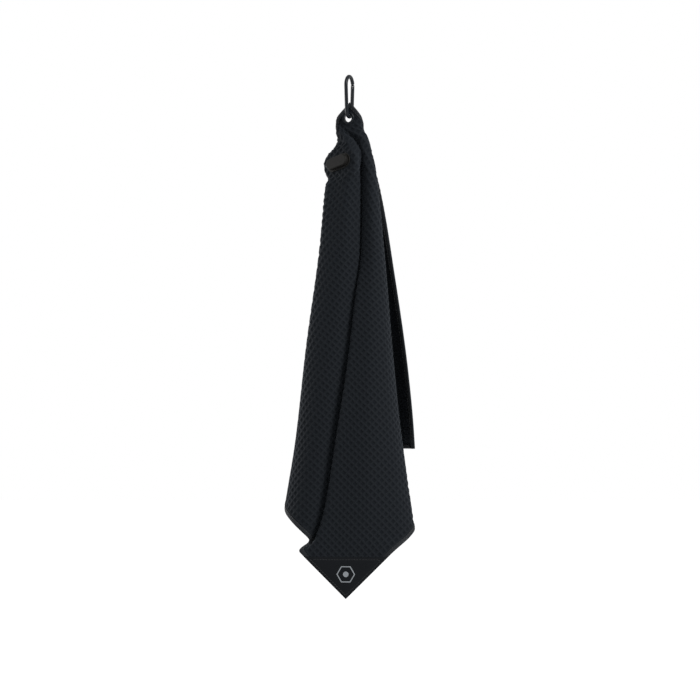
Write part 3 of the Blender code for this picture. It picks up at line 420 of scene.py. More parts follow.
def surface(u, v):
    """Point and outward normal of the cloth's middle surface at arrays (u, v)."""
    step = 0.0012
    along_u = drape(u + step, v) - drape(u - step, v)
    along_v = drape(u, v + step) - drape(u, v - step)
    return drape(u, v), unit(np.cross(along_v, along_u))


tip = drape(np.array([TOWEL_SIDE]), np.array([TOWEL_SIDE]))[0]
print("the towel's tip hangs at", [round(c, 4) for c in tip])

# %% [markdown]
# ## The waffle cloth
# Waffle microfibre is woven in small square cells with a raised rim and a sunk floor, about
# 6 mm across, and its lattice runs along the towel's edges. The rims catch the light and the
# floors stay dark, and the outline is bumpy. A bump in the finish would leave the outline
# smooth, so the cells are in the mesh: three grid lines to a cell, one on the rim and two on
# the floor, and the whole thin sheet goes up and down with them.

# %% Make the cloth
CELLS = 68
CELL = TOWEL_SIDE / CELLS
RIM_UP = 0.00028
FLOOR_DOWN = 0.00032
SHEET_HALF = 0.00060
PRESSED_HALF = 0.00030
EYELET_BLEND = 0.004        # the waffle rises to its full height over this far from the flange
PAD_BLEND = (0.42, 0.62)    # and between these, in pad heights, from the pad's middle line
PATCH_BLEND = (0.001, 0.004)
HEM_BLEND = 0.0016


def mesh_piece(name, points, faces, smooth_angle=60.0):
    """A mesh object in the row frame, smooth shaded up to an angle."""
    mesh = bpy.data.meshes.new(name)
    mesh.from_pydata(np.asarray(points).tolist(), [], faces)
    mesh.shade_smooth()
    mesh.set_sharp_from_angle(angle=math.radians(smooth_angle))
    piece = bpy.data.objects.new(name, mesh)
    bpy.context.scene.collection.objects.link(piece)
    return piece


def map_flat(piece, u, v):
    """A UV map that gives each point its place in the flat cloth, one unit to a waffle cell."""
    layer = piece.data.uv_layers.new(name="flat")
    corners = np.zeros(len(piece.data.loops), dtype=np.int32)
    piece.data.loops.foreach_get("vertex_index", corners)
    place = np.stack((u[corners], v[corners]), -1) / CELL
    layer.data.foreach_set("uv", place.astype(np.float32).ravel())


def edge_reach(u, v):
    """Distance in the flat cloth from the nearest edge."""
    return np.minimum(np.minimum(u, v), TOWEL_SIDE - np.maximum(u, v))


def relief(u, v, on_rim):
    """Height of the waffle and half thickness of the sheet.

    The sheet is flat at the fittings and thin under the hem.
    """
    beside_eyelet = np.hypot(u - EYELET_INSET, v - EYELET_INSET)
    free = ramp(beside_eyelet, FLANGE_R, FLANGE_R + EYELET_BLEND)
    low, high = PAD_BLEND
    free = free * ramp(magnet_reach(u, v), low * MAGNET_HEIGHT, high * MAGNET_HEIGHT)
    from_tip = 2 * TOWEL_SIDE - u - v
    free = free * ramp(from_tip, PATCH_LEG - PATCH_BLEND[0], PATCH_LEG + PATCH_BLEND[1])
    hem = ramp(edge_reach(u, v), TAPE_WIDTH, TAPE_WIDTH + HEM_BLEND)
    height = np.where(on_rim, RIM_UP, -FLOOR_DOWN) * free * hem
    half = SHEET_HALF + (HALF_CLOTH - SHEET_HALF) * (1 - free)
    return height, PRESSED_HALF + (half - PRESSED_HALF) * hem


def closed_sheet(name, u, v, height, half):
    """A closed sheet over a grid of flat points."""
    middle, out = surface(u, v)
    front = (middle + (height + half)[..., None] * out).reshape(-1, 3)
    back = (middle + (height - half)[..., None] * out).reshape(-1, 3)
    rows, columns = u.shape
    index = np.arange(rows * columns).reshape(rows, columns)
    quads = np.stack((index[:-1, :-1], index[:-1, 1:], index[1:, 1:], index[1:, :-1]), -1)
    quads = quads.reshape(-1, 4)
    count = rows * columns
    rim = np.concatenate((index[0, :], index[1:, -1], index[-1, -2::-1], index[-2:0:-1, 0]))
    after = np.roll(rim, -1)
    side = np.stack((after, rim, rim + count, after + count), -1)
    faces = np.vstack((quads, quads[:, ::-1] + count, side)).tolist()
    piece = mesh_piece(name, np.vstack((front, back)), faces)
    map_flat(piece, np.tile(u.ravel(), 2), np.tile(v.ravel(), 2))
    return piece


shares = np.array((0.0, 0.3, 0.7))
lines = ((np.arange(CELLS)[:, None] + shares) * CELL).ravel()
lines = np.append(lines, TOWEL_SIDE)
rim_line = np.append(np.tile(shares == 0.0, CELLS), True)
lines = np.clip(lines, HEM_CORE, TOWEL_SIDE - HEM_CORE)
flat_u, flat_v = np.meshgrid(lines, lines, indexing="ij")
rim_u, rim_v = np.meshgrid(rim_line, rim_line, indexing="ij")
cloth = closed_sheet("waffle_cloth", flat_u, flat_v, *relief(flat_u, flat_v, rim_u | rim_v))
print("cloth", len(cloth.data.polygons), "faces")

# %% [markdown]
# The eyelet's hole is punched through the cloth with a round cutter, as the real punch does.

# %% Punch the eyelet hole


def select_only(piece):
    """Make one object the only one selected, and the active one."""
    bpy.ops.object.select_all(action="DESELECT")
    piece.select_set(True)
    bpy.context.view_layer.objects.active = piece


def cut_out(piece, cutter, name):
    """Take a cutter's shape out of a closed piece, and throw the cutter away."""
    select_only(piece)
    step = piece.modifiers.new(name, "BOOLEAN")
    step.operation = "DIFFERENCE"
    step.solver = "MANIFOLD"
    step.object = cutter
    bpy.ops.object.modifier_apply(modifier=step.name)
    bpy.data.objects.remove(cutter, do_unlink=True)


bpy.ops.object.select_all(action="DESELECT")
punch_turn = Vector(BOW_AXIS).to_track_quat("Z", "Y").to_euler()
bpy.ops.mesh.primitive_cylinder_add(vertices=48, radius=CLOTH_HOLE_R, depth=0.007,
                                    location=EYELET_AT, rotation=punch_turn)
cut_out(cloth, bpy.context.object, "eyelet_hole")
print("cloth with its hole", len(cloth.data.polygons), "faces")

# %% [markdown]
# ## Hem tapes
# A woven tape is folded round each edge and sewn through with one row of stitches near its
# inner edge, which draws the tape down in a groove. Each tape is its cross-section, a flat U
# with a little thickness, carried along the edge of the draped cloth.

# %% Fold a tape round each edge
STITCH_LINE = 0.0039
PATCH_FROM = TOWEL_SIDE - PATCH_LEG - CLEARANCE
TUCK = 0.0050               # how far the lower tapes pass under the patch
PRESSED_SHARE = 0.65        # how much of its height the tape loses there
PRESSED_OVER = 0.002
TAPE_OUTLINE = ((4.80, -1.00), (4.40, -1.22), (3.90, -0.98), (3.40, -1.22), (2.20, -1.16),
                (1.00, -1.02), (0.30, -0.72), (0.00, 0.00), (0.30, 0.72), (1.00, 1.02),
                (2.20, 1.16), (3.40, 1.22), (3.90, 0.98), (4.40, 1.22), (4.80, 1.00),
                (4.70, 0.62), (1.10, 0.58), (0.55, 0.00), (1.10, -0.58), (4.70, -0.62))


def edge_strip(start, end, inward, stations, outline, thin_from):
    """An outline of (reach from the edge, height) carried along one edge of the cloth.

    Past thin_from the outline is pressed flat, to pass under the patch.
    """
    pressed = 1 - PRESSED_SHARE * ramp(stations, thin_from - PRESSED_OVER, thin_from)[:, None]
    pressed = np.where(thin_from > PATCH_FROM, 1.0, pressed)
    run = 0 if start[0] != end[0] else 1
    u = stations if run == 0 else np.full_like(stations, start[0])
    v = stations if run == 1 else np.full_like(stations, start[1])
    columns = []
    for reach, height in outline:
        middle, out = surface(u + reach * inward[0], v + reach * inward[1])
        columns.append(middle + height * pressed * out)
    return np.stack(columns, axis=1), u, v


def outward(points, faces):
    """The same faces, all turned round if they enclose their volume inside out."""
    a, b, c = (points[[face[k] for face in faces]] for k in (0, 1, 2))
    d = points[[face[-1] for face in faces]]
    centre = points.mean(axis=0)
    first = np.einsum("ij,ij->i", a - centre, np.cross(b - centre, c - centre)).sum()
    second = np.einsum("ij,ij->i", a - centre, np.cross(c - centre, d - centre)).sum()
    return faces if first + second > 0 else [face[::-1] for face in faces]


def tube_faces(rings, sides):
    """Quads between rings of equal point count, with a cap at both ends."""
    faces = []
    for i in range(rings - 1):
        for j in range(sides):
            k = (j + 1) % sides
            faces.append((i * sides + j, i * sides + k, (i + 1) * sides + k, (i + 1) * sides + j))
    half = sides // 2
    for first in (0, (rings - 1) * sides):
        for j in range(half - 1):
            quad = (first + j, first + j + 1, first + sides - 2 - j, first + sides - 1 - j)
            faces.append(quad if first else quad[::-1])
    return faces


PAST = TAPE_WIDTH + 5 * CLEARANCE
EDGES = {"upper_left": ((0.0, 0.0), (0.0, TOWEL_SIDE), (1, 0)),
         "upper_right": ((PAST, 0.0), (TOWEL_SIDE, 0.0), (0, 1)),
         "lower_left": ((PAST, TOWEL_SIDE), (PATCH_FROM, TOWEL_SIDE), (0, -1)),
         "lower_right": ((TOWEL_SIDE, PAST), (TOWEL_SIDE, PATCH_FROM), (-1, 0))}
tapes = {}
for side, (start, end, inward) in EDGES.items():
    run = 0 if start[0] != end[0] else 1
    finish = end[run] + (TUCK if end[run] == PATCH_FROM else 0.0)
    stations = np.linspace(start[run], finish, 1 + round((finish - start[run]) / (CELL / 3)))
    outline = [(reach / 1000, height / 1000) for reach, height in TAPE_OUTLINE]
    points, u, v = edge_strip(start, end, inward, stations, outline, end[run])
    faces = tube_faces(len(stations), len(outline))
    points = points.reshape(-1, 3)
    tape = mesh_piece("tape_" + side, points, outward(points, faces), 50.0)
    run_place = np.repeat(stations, len(outline))
    reach_place = np.tile([reach for reach, _ in outline], len(stations))
    map_flat(tape, run_place, reach_place)
    tapes[side] = tape
print("tapes", [len(tape.data.polygons) for tape in tapes.values()], "faces")

# %% [markdown]
# ## Stitches
# Each stitch is a short round thread that dips into the cloth at both ends. The stitches are
# far too small to need more than a few faces each: a five-sided thread in four steps. One
# function lays a row of them along any line on the cloth's face, and each seam is one object.

# %% Sew along a line
THREAD_R = 0.00022
STITCH = 0.0026
STITCH_PITCH = 0.0032
THREAD_SIDES = 5
ARCH = (-0.6, 0.55, 0.8, 0.55, -0.6)
SEAM_LIFT = 0.00105         # the hem seams' height above the cloth's middle
SEAM_MARGIN = 0.002         # how far they stop short of a tape's ends


def thread_faces(rings, sides):
    """A thin tube with a fan of triangles at both ends."""
    faces = []
    for i in range(rings - 1):
        for j in range(sides):
            k = (j + 1) % sides
            faces.append((i * sides + j, i * sides + k, (i + 1) * sides + k, (i + 1) * sides + j))
    last = (rings - 1) * sides
    for j in range(1, sides - 1):
        faces.append((0, j + 1, j))
        faces.append((last, last + j, last + j + 1))
    return faces


def sew(name, places, outs):
    """Stitches along a line of points that are STITCH_PITCH apart; outs point off the cloth."""
    points = []
    faces = []
    for k in range(len(places) - 1):
        travel = places[k + 1] - places[k]
        gap = np.linalg.norm(travel)
        if gap > 2 * STITCH_PITCH:
            continue
        travel = travel / gap
        out = unit(outs[k] - np.dot(outs[k], travel) * travel)
        aside = np.cross(travel, out)
        first = len(points)
        for step, lift in enumerate(ARCH):
            centre = places[k] + travel * STITCH * step / (len(ARCH) - 1) + out * THREAD_R * lift
            for j in range(THREAD_SIDES):
                turn = 2 * math.pi * j / THREAD_SIDES
                points.append(centre + THREAD_R * (math.cos(turn) * aside + math.sin(turn) * out))
        faces += [tuple(first + i for i in face) for face in thread_faces(len(ARCH), THREAD_SIDES)]
    points = np.array(points)
    return mesh_piece(name, points, outward(points, faces), 80.0)


seams = {}
for side, (start, end, inward) in EDGES.items():
    run = 0 if start[0] != end[0] else 1
    stations = np.arange(start[run] + SEAM_MARGIN, end[run] - SEAM_MARGIN, STITCH_PITCH)
    u = (stations if run == 0 else np.full_like(stations, start[0])) + STITCH_LINE * inward[0]
    v = (stations if run == 1 else np.full_like(stations, start[1])) + STITCH_LINE * inward[1]
    middle, out = surface(u, v)
    for face, way in (("front", 1), ("back", -1)):
        name = "stitching_" + side + "_" + face
        seams[name] = sew(name, middle + way * SEAM_LIFT * out, way * out)
print(len(seams), "hem seams")

# %% [markdown]
# ## Corner patch
# The bottom corner is covered on both faces by a smooth knitted patch, padded a little and sewn
# near its three sides. The two patches are closed shells on a triangular grid, thin at the
# sides, full in the middle, with a groove where the seam draws them down.

# %% Cut and pad the patches
PATCH_ROWS = 48
PATCH_SEAM = 0.0030
PATCH_LOW = 0.0004
PATCH_HIGH = 0.0025
ROUND_OVER = 0.0022         # the patch's sides are rounded over this far
PADDED_FROM = (0.0030, 0.0090)  # its padding starts and is full at these distances
GROOVE_HALF = 0.0007        # half width and depth of the groove along its seam
GROOVE_DEEP = 0.00035
PATCH_EDGE = 0.0010         # height at its top side, and what the other sides have more
PATCH_EDGE_MORE = 0.0007
SEAM_SHORT = 0.007          # how far the side seams stop short of its upper corners
TOP_SEAM = (0.08, 0.92)     # from where to where the top seam runs, as shares of the side


def patch_height(u, v):
    """Height of a patch's outer face above the cloth's middle, from the distance to its sides."""
    side = np.minimum(TOWEL_SIDE - u, TOWEL_SIDE - v)
    top = (u + v - (2 * TOWEL_SIDE - PATCH_LEG)) / math.sqrt(2)
    near = np.minimum(side, top)
    round_edge = np.sqrt(1 - (1 - np.clip(near / ROUND_OVER, 0, 1)) ** 2)
    fill = ramp(near, *PADDED_FROM)
    groove = np.exp(-((near - PATCH_SEAM) / GROOVE_HALF) ** 2)
    edge = PATCH_EDGE + PATCH_EDGE_MORE * ramp(top, -PATCH_BLEND[0], PATCH_BLEND[1])
    return edge + (PATCH_HIGH - edge) * (0.55 * round_edge + 0.45 * fill) - GROOVE_DEEP * groove


def make_patch(name, way):
    """One patch; way is 1 for the front face and -1 for the back."""
    flat = [(TOWEL_SIDE - PATCH_LEG * i / PATCH_ROWS, TOWEL_SIDE - PATCH_LEG * j / PATCH_ROWS)
            for i in range(PATCH_ROWS + 1) for j in range(PATCH_ROWS + 1 - i)]
    u, v = np.array(flat).T
    place = {}
    for i in range(PATCH_ROWS + 1):
        for j in range(PATCH_ROWS + 1 - i):
            place[i, j] = len(place)
    count = len(place)
    faces = []
    for (i, j), a in place.items():
        if i + j < PATCH_ROWS:
            tris = [(a, place[i, j + 1], place[i + 1, j])]
            if i + j < PATCH_ROWS - 1:
                tris.append((place[i, j + 1], place[i + 1, j + 1], place[i + 1, j]))
            for tri in tris:
                faces += [tri, tuple(count + k for k in reversed(tri))]
    rim = [place[0, j] for j in range(PATCH_ROWS + 1)]
    rim += [place[i, PATCH_ROWS - i] for i in range(1, PATCH_ROWS + 1)]
    rim += [place[i, 0] for i in reversed(range(1, PATCH_ROWS))]
    for a, b in zip(rim, rim[1:] + rim[:1]):
        faces.append((b, a, count + a, count + b))
    middle, out = surface(u, v)
    top = middle + way * patch_height(u, v)[:, None] * out
    low = middle + way * PATCH_LOW * out
    points = np.vstack((top, low))
    patch = mesh_piece(name, points, outward(points, faces), 60.0)
    map_flat(patch, np.tile(u, 2), np.tile(v, 2))
    return patch


patches = {"patch_front": make_patch("patch_front", 1),
           "patch_back": make_patch("patch_back", -1)}
seam_end = PATCH_LEG - SEAM_SHORT
ends = ((seam_end, PATCH_SEAM), (PATCH_SEAM, PATCH_SEAM), (PATCH_SEAM, seam_end))
row = []
for (a, b), (c, d) in zip(ends, ends[1:]):
    steps = np.arange(0, math.hypot(c - a, d - b), STITCH_PITCH) / math.hypot(c - a, d - b)
    row += [(a + (c - a) * t, b + (d - b) * t) for t in steps]
top_in = PATCH_LEG - math.sqrt(2) * PATCH_SEAM
steps = np.arange(*TOP_SEAM, STITCH_PITCH / (math.sqrt(2) * top_in))
row += [(top_in * (1 - t), top_in * t) for t in steps[::-1]]
row = TOWEL_SIDE - np.array(row)
middle, out = surface(row[:, 0], row[:, 1])
lift = patch_height(row[:, 0], row[:, 1])[:, None]
for face, way in (("front", 1), ("back", -1)):
    name = "stitching_patch_" + face
    seams[name] = sew(name, middle + way * lift * out, way * out)
print("patches", [len(patch.data.polygons) for patch in patches.values()], "faces")

# %% [markdown]
# ## Magnet pad
# The pad is a soft-touch moulding: a thin flange sewn to the cloth and a raised rounded cover
# with the magnets under it. Both start as a plain block. Its upright edges are bevelled until
# the ends are round, then the top edge is eased, and the cover is hollowed from below.

# %% Mould the pad
here, _, _, pad_out = MAGNET_FRAME
rising = np.array((math.cos(MAGNET_TILT), 0.0, math.sin(MAGNET_TILT)))
pad_length = unit(rising - np.dot(rising, pad_out) * pad_out)
pad_height = np.cross(pad_out, pad_length)
PAD_TURN = Matrix(np.stack((pad_length, pad_height, pad_out), axis=1).tolist())
FLANGE_THICK = 0.0010
FLANGE_RIM = 0.0019
COVER_HEIGHT = 0.0046
COVER_WALL = 0.0012
END_BEVEL = 0.49            # share of a block's height, just under a half circle
END_STEPS = 14
SAME_PLACE = 1e-6


def pick_edges(piece, test):
    """Select just the edges whose two ends pass a test, and go to edit mode."""
    bpy.ops.object.mode_set(mode="EDIT")
    bpy.ops.mesh.select_mode(type="EDGE")
    bpy.ops.mesh.select_all(action="DESELECT")
    bpy.ops.object.mode_set(mode="OBJECT")
    points = piece.data.vertices
    for edge in piece.data.edges:
        edge.select = test(points[edge.vertices[0]].co, points[edge.vertices[1]].co)
    bpy.ops.object.mode_set(mode="EDIT")


def settle(piece, centre, turn):
    """Put a finished piece at its place on the towel, and leave its object at the origin."""
    select_only(piece)
    piece.matrix_world = Matrix.Translation(Vector(centre)) @ turn.to_4x4()
    bpy.ops.object.transform_apply(location=True, rotation=True, scale=True)
    bpy.ops.object.shade_smooth_by_angle(angle=math.radians(40))
    bpy.ops.object.modifier_add(type="WEIGHTED_NORMAL")
    piece.modifiers[-1].keep_sharp = True
    bpy.ops.object.modifier_apply(modifier=piece.modifiers[-1].name)


def round_block(name, length, height, low, high, ease, steps):
    """A block with round ends and an eased top edge, around the origin."""
    bpy.ops.object.select_all(action="DESELECT")
    bpy.ops.mesh.primitive_cube_add(size=1.0, location=(0, 0, 0.5 * (low + high)),
                                    scale=(length, height, high - low))
    block = bpy.context.object
    block.name = name
    block.data.name = name
    bpy.ops.object.transform_apply(location=True, rotation=True, scale=True)
    pick_edges(block, lambda a, b: max(abs(a.x - b.x), abs(a.y - b.y)) < SAME_PLACE)
    bpy.ops.mesh.bevel(offset=END_BEVEL * height, segments=END_STEPS, affect="EDGES")
    bpy.ops.object.mode_set(mode="OBJECT")
    pick_edges(block, lambda a, b: min(a.z, b.z) > high - SAME_PLACE)
    bpy.ops.mesh.bevel(offset=ease, segments=steps, affect="EDGES")
    bpy.ops.object.mode_set(mode="OBJECT")
    return block


pad_base = HALF_CLOTH + CLEARANCE
flange_top = pad_base + FLANGE_THICK
cover_foot = flange_top + CLEARANCE
cover_top = cover_foot + COVER_HEIGHT
flange = round_block("pad_flange", MAGNET_LENGTH, MAGNET_HEIGHT, pad_base, flange_top, 0.0006, 4)
settle(flange, here, PAD_TURN)
inner_length = MAGNET_LENGTH - 2 * FLANGE_RIM
inner_height = MAGNET_HEIGHT - 2 * FLANGE_RIM
cover = round_block("pad_cover", inner_length, inner_height, cover_foot, cover_top, 0.0011, 6)
core = round_block("pad_core", inner_length - 2 * COVER_WALL, inner_height - 2 * COVER_WALL,
                   cover_foot - 0.001, cover_top - COVER_WALL, 0.0005, 2)
cut_out(cover, core, "hollow")
settle(cover, here, PAD_TURN)
print("pad", len(flange.data.polygons), "and", len(cover.data.polygons), "faces")

# %% [markdown]
# ## Finishes
# A finish is a short sum on numbers that change over the surface: is this point on a waffle
# rim or a floor, is it in a speck of lint. Blender does sums with one node to each operation,
# which is long to write, so a small class stands for a socket, and Python's own + - * on it
# add the nodes.

# %% A socket that does sums


class Wire:
    """One output of a material's nodes. Sums on it add Math nodes; node() adds any other."""

    def __init__(self, tree, socket=None):
        self.tree = tree
        self.socket = socket

    def node(self, kind, settings, inputs, out=0):
        """Add a node: settings first, then values or wires for its inputs."""
        made = self.tree.nodes.new(kind)
        for name, value in settings.items():
            setattr(made, name, value)
        for key, value in inputs.items():
            if isinstance(value, Wire):
                self.tree.links.new(value.socket, made.inputs[key])
            else:
                made.inputs[key].default_value = value
        return Wire(self.tree, made.outputs[out])

    def sum(self, operation, *values):
        """A Math node."""
        return self.node("ShaderNodeMath", {"operation": operation}, dict(enumerate(values)))

    def __add__(self, other):
        return self.sum("ADD", self, other)

    def __sub__(self, other):
        return self.sum("SUBTRACT", self, other)

    def __rsub__(self, other):
        return self.sum("SUBTRACT", other, self)

    def __mul__(self, other):
        return self.sum("MULTIPLY", self, other)

    __radd__ = __add__
    __rmul__ = __mul__

    def step(self, low, high):
        """0 below low, 1 above high, smooth between."""
        return self.node("ShaderNodeMapRange", {"interpolation_type": "SMOOTHSTEP"},
                         {"Value": self, "From Min": low, "From Max": high})

    def tint(self, dark, light):
        """A colour between two, with this number as the share of the second."""
        return self.node("ShaderNodeMix", {"data_type": "RGBA"},
                         {0: self, 6: (*dark, 1.0), 7: (*light, 1.0)}, out=2)

    def noise(self, place, scale, detail=2.0):
        """Even noise over a place."""
        return self.node("ShaderNodeTexNoise", {},
                         {"Vector": place, "Scale": scale, "Detail": detail})

    def in_piece(self):
        """A place in the piece, which moves with it."""
        return self.node("ShaderNodeTexCoord", {}, {}, out="Object")

    def bump(self, height, distance, strength=1.0):
        """A normal from a height of 0 to 1 that stands distance metres high."""
        return self.node("ShaderNodeBump", {},
                         {"Height": height, "Distance": distance, "Strength": strength})


def start_finish(name, **constants):
    """A new material: returns it, a wire to begin from, and its shader."""
    finish = bpy.data.materials.new(name)
    finish.use_nodes = True
    shader = finish.node_tree.nodes["Principled BSDF"]
    for key, value in constants.items():
        shader.inputs[key.replace("_", " ")].default_value = value
    return finish, Wire(finish.node_tree), shader


def feed(shader, **wires):
    """Join wires to the shader's sockets."""
    for key, wire in wires.items():
        wire.tree.links.new(wire.socket, shader.inputs[key.replace("_", " ")])


def coat_with(piece, finish):
    """Give a piece one finish, in every slot that it has."""
    if not piece.data.materials:
        piece.data.materials.append(finish)
    for k in range(len(piece.data.materials)):
        piece.data.materials[k] = finish


print("finishes can be written as sums")

# %% [markdown]
# ### Waffle microfibre
# The lattice comes from the cloth's own map, where one unit is one cell: a pingpong of each
# coordinate is 0 on a rim and 0.5 in the middle of a floor. The floors are painted darker than
# the rims, a painted shade in the hollows of the cells. The fine split fibres are a noise about
# as large as the yarn, both in the colour and in the bump, and a soft sheen stands for the nap.

# %% Waffle microfibre finish
waffle, w, shader = start_finish("waffle_microfibre", Roughness=0.85, Specular_IOR_Level=0.05,
                                 Sheen_Weight=0.03, Sheen_Roughness=0.45,
                                 Sheen_Tint=(0.75, 0.85, 1.0, 1.0))
flat = w.node("ShaderNodeUVMap", {"uv_map": "flat"}, {})
u_place = w.node("ShaderNodeSeparateXYZ", {}, {0: flat}, out=0)
v_place = w.node("ShaderNodeSeparateXYZ", {}, {0: flat}, out=1)
deep = w.sum("MINIMUM", w.sum("PINGPONG", u_place, 0.5), w.sum("PINGPONG", v_place, 0.5))
floor_share = deep.step(0.06, 0.34)
solid_place = w.in_piece()
yarn = w.noise(solid_place, 1100.0, 1.0)
nap = w.noise(solid_place, 60.0, 3.0)
# painted shade: the floor share moves the colour to the darker one in the cell floors, on top of
# the random yarn and nap tone
shade = floor_share * 0.85 + (yarn - 0.5) * 0.55 + (nap - 0.5) * 0.35
shade = w.sum("MINIMUM", w.sum("MAXIMUM", shade, 0.0), 1.0)
height = (1.0 - floor_share) + yarn * 0.35
feed(shader, Base_Color=shade.tint((0.0040, 0.0049, 0.0062), (0.0028, 0.0035, 0.0046)),
     Roughness=0.80 + floor_share * 0.15, Normal=w.bump(height, 0.0008, 0.8))
print("waffle finish", len(waffle.node_tree.nodes), "nodes")

# %% [markdown]
# ### Hem tape, thread and patch
# The tape is a smooth woven ribbon: fine ribs run across it. The thread is a touch lighter, and
# the patch is a tight knit with a faint vertical rib and a satin look.

# %% Tape, thread and patch finishes
tape_finish, w, shader = start_finish("hem_tape", Roughness=0.7, Specular_IOR_Level=0.10,
                                      Sheen_Weight=0.03, Sheen_Roughness=0.4)
flat = w.node("ShaderNodeUVMap", {"uv_map": "flat"}, {})
run_place = w.node("ShaderNodeSeparateXYZ", {}, {0: flat}, out=0)
rib = w.sum("SINE", run_place * (2 * math.pi * 7.0)) * 0.5 + 0.5
solid_place = w.in_piece()
fuzz = w.noise(solid_place, 500.0)
shade = fuzz * 0.8 + rib * 0.2
feed(shader, Base_Color=shade.tint((0.0030, 0.0036, 0.0045), (0.0072, 0.0083, 0.0100)),
     Normal=w.bump(rib + fuzz * 0.4, 0.00012, 0.7))

thread_finish, w, shader = start_finish("sewing_thread", Roughness=0.55, Specular_IOR_Level=0.3)
solid_place = w.in_piece()
twist = w.noise(solid_place, 2500.0)
feed(shader, Base_Color=twist.tint((0.0030, 0.0035, 0.0042), (0.0070, 0.0079, 0.0092)),
     Normal=w.bump(twist, 0.00005))

patch_finish, w, shader = start_finish("smooth_patch", Roughness=0.55, Specular_IOR_Level=0.06,
                                       Sheen_Weight=0.01, Sheen_Roughness=0.35)
flat = w.node("ShaderNodeUVMap", {"uv_map": "flat"}, {})
u_place = w.node("ShaderNodeSeparateXYZ", {}, {0: flat}, out=0)
v_place = w.node("ShaderNodeSeparateXYZ", {}, {0: flat}, out=1)
rows_of_knit = w.sum("SINE", (u_place - v_place) * (2 * math.pi * 6.0))
knit = rows_of_knit * w.sum("SINE", (u_place + v_place) * 30.0)
solid_place = w.in_piece()
cloudy = w.noise(solid_place, 45.0, 3.0)
shade = cloudy * 0.7 + knit * 0.12 + 0.1
feed(shader, Base_Color=shade.tint((0.0010, 0.0014, 0.0020), (0.0024, 0.0029, 0.0038)),
     Roughness=0.50 + cloudy * 0.15, Normal=w.bump(knit * 0.5 + 0.5, 0.00006, 0.6))
print("tape, thread and patch finishes made")

# %% [markdown]
# ### Metal, moulding and print
# The carabiner is black anodised metal with soft handling marks all over and faint brushing.
# The pad is a warm dark grey soft-touch plastic with a very fine grain. The printed emblem is
# pale grey, a little worn.

# %% Metal, moulding and print finishes


def metal_finish(name, dark, light, rough, metallic):
    """A metal with soft handling marks and fine scratches."""
    finish, w, shader = start_finish(name, Metallic=metallic, Specular_IOR_Level=0.10)
    solid_place = w.in_piece()
    marks = w.noise(solid_place, 220.0, 4.0)
    drawn_out = w.node("ShaderNodeMapping", {},
                       {"Vector": solid_place, "Scale": (60.0, 60.0, 4.0)})
    scratch = w.noise(drawn_out, 40.0)
    feed(shader, Base_Color=marks.tint(dark, light),
         Roughness=rough + marks * 0.18 + scratch * 0.08,
         Normal=w.bump(scratch, 0.00002, 0.5))
    return finish


black_metal = metal_finish("black_metal", (0.0015, 0.0025, 0.0035), (0.0035, 0.0045, 0.0060),
                           0.30, 0.0)
spring_steel = metal_finish("spring_steel", (0.35, 0.35, 0.36), (0.50, 0.50, 0.51), 0.22, 1.0)
magnet_plating = metal_finish("magnet_plating", (0.50, 0.50, 0.48), (0.66, 0.66, 0.63),
                              0.15, 1.0)

pad_finish, w, shader = start_finish("soft_touch_pad", Specular_IOR_Level=0.08)
solid_place = w.in_piece()
grain = w.noise(solid_place, 1600.0, 1.0)
smudge = w.noise(solid_place, 90.0, 3.0)
shade = grain * 0.4 + smudge * 0.6
feed(shader, Base_Color=shade.tint((0.0022, 0.0020, 0.0018), (0.0040, 0.0036, 0.0032)),
     Roughness=0.50 + smudge * 0.2, Normal=w.bump(grain, 0.00003, 0.6))

print_finish, w, shader = start_finish("pale_print", Specular_IOR_Level=0.3)
solid_place = w.in_piece()
worn = w.noise(solid_place, 350.0, 3.0)
feed(shader, Base_Color=worn.tint((0.065, 0.072, 0.078), (0.130, 0.140, 0.150)),
     Roughness=0.55 + worn * 0.2)
print("metal, moulding and print finishes made")

# %% [markdown]
# ## Put it together
# Every new piece moves with the towel, and where it stands for a plain solid, that solid is
# hidden. The kept hard parts get their finish here too.

# %% Ride, replace and coat
STANDS_FOR = {"upper_left": "hem_tape_upper_left", "upper_right": "hem_tape_upper_right",
              "lower_left": "hem_tape_lower_left", "lower_right": "hem_tape_lower_right"}
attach(cloth, "towel")
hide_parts("towel_cloth")
coat_with(cloth, waffle)
for side, tape in tapes.items():
    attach(tape, "towel")
    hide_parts(STANDS_FOR[side])
    coat_with(tape, tape_finish)
for seam in seams.values():
    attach(seam, "towel")
    coat_with(seam, thread_finish)
for name, node in (("patch_front", "corner_patch_front"), ("patch_back", "corner_patch_back")):
    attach(patches[name], "towel")
    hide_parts(node)
    coat_with(patches[name], patch_finish)
for piece, node in ((flange, "magnet_flange"), (cover, "magnet_cover")):
    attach(piece, "towel")
    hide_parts(node)
    coat_with(piece, pad_finish)
KEPT = {"carabiner_body": black_metal, "carabiner_gate": black_metal,
        "gate_pivot_rivet": black_metal, "eyelet": black_metal, "eyelet_washer": black_metal,
        "gate_latch_pin": spring_steel, "gate_plunger": spring_steel,
        "gate_spring": spring_steel, "magnet_disc_left": magnet_plating,
        "magnet_disc_right": magnet_plating, "magnet_backing": pad_finish,
        "emblem_frame": print_finish, "emblem_dot": print_finish}
for node, finish in KEPT.items():
    coat_with(frame["nodes"][node], finish)

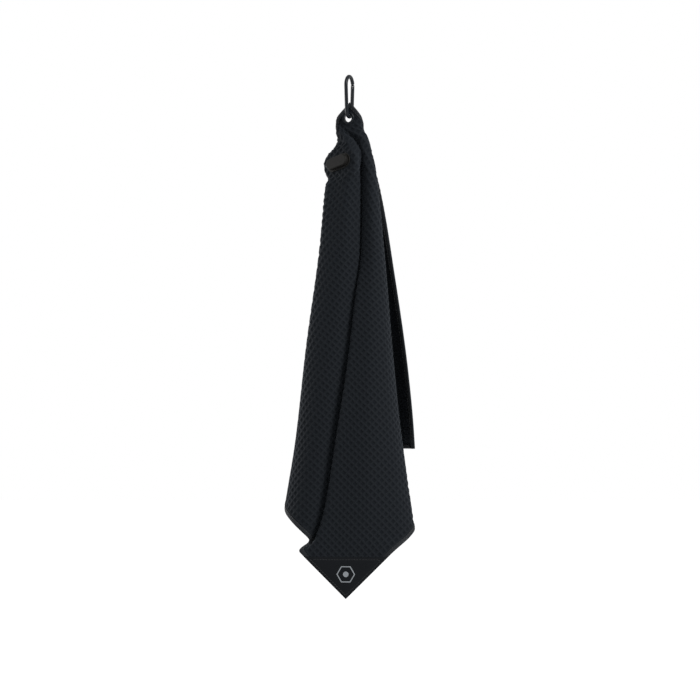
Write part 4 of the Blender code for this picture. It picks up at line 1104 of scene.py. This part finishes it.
# %% [markdown]
# ## Floor, light and camera
# A pale floor well below the towel, a white room, one large soft light from the upper right and
# a weak one from behind on the left that draws a thin bright line down the left fold. The
# camera looks straight on with a long lens.

# %% Floor, light and camera
FLOOR_SIZE = 40.0
FLOOR_Z = -1.1
bpy.ops.object.select_all(action="DESELECT")
bpy.ops.mesh.primitive_plane_add(size=FLOOR_SIZE, location=(0, 0, FLOOR_Z))
floor = bpy.context.object
floor.name = "studio_floor"
floor_finish, w, shader = start_finish("pale_floor", Base_Color=(0.93, 0.93, 0.93, 1.0),
                                       Roughness=0.9, Specular_IOR_Level=0.0,
                                       Emission_Color=(1.0, 1.0, 1.0, 1.0),
                                       Emission_Strength=0.12)
coat_with(floor, floor_finish)

room = bpy.data.worlds.new("white_room")
room.use_nodes = True
room.node_tree.nodes["Background"].inputs["Color"].default_value = (1.0, 1.0, 1.0, 1.0)
room.node_tree.nodes["Background"].inputs["Strength"].default_value = 1.0
bpy.context.scene.world = room


def soft_light(name, place, aim, size, power):
    """A square area light that looks at a point."""
    lamp = bpy.data.lights.new(name, "AREA")
    lamp.size = size
    lamp.energy = power
    light = bpy.data.objects.new(name, lamp)
    light.location = place
    light.rotation_euler = (Vector(aim) - Vector(place)).to_track_quat("-Z", "Y").to_euler()
    bpy.context.scene.collection.objects.link(light)


MID_TOWEL = (0.0, 0.0, -0.30)
soft_light("key_light", (1.50, -1.25, 1.15), MID_TOWEL, 0.7, 115.0)
soft_light("edge_light", (-0.90, 0.35, -0.10), MID_TOWEL, 0.5, 14.0)

LENS = 250.0
SENSOR = 36.0
SHOWN_WIDTH = 0.7945
CAMERA_X = 0.0008
CAMERA_Z = -0.3083
camera_data = bpy.data.cameras.new("camera")
camera_data.lens = LENS
camera_data.sensor_width = SENSOR
camera = bpy.data.objects.new("camera", camera_data)
camera.location = (CAMERA_X, -SHOWN_WIDTH * LENS / SENSOR, CAMERA_Z)
camera.rotation_euler = (math.radians(90), 0.0, 0.0)
bpy.context.scene.collection.objects.link(camera)
bpy.context.scene.camera = camera
bpy.context.scene.view_settings.view_transform = "Standard"
print("camera", round(-camera.location.y, 3), "m in front")
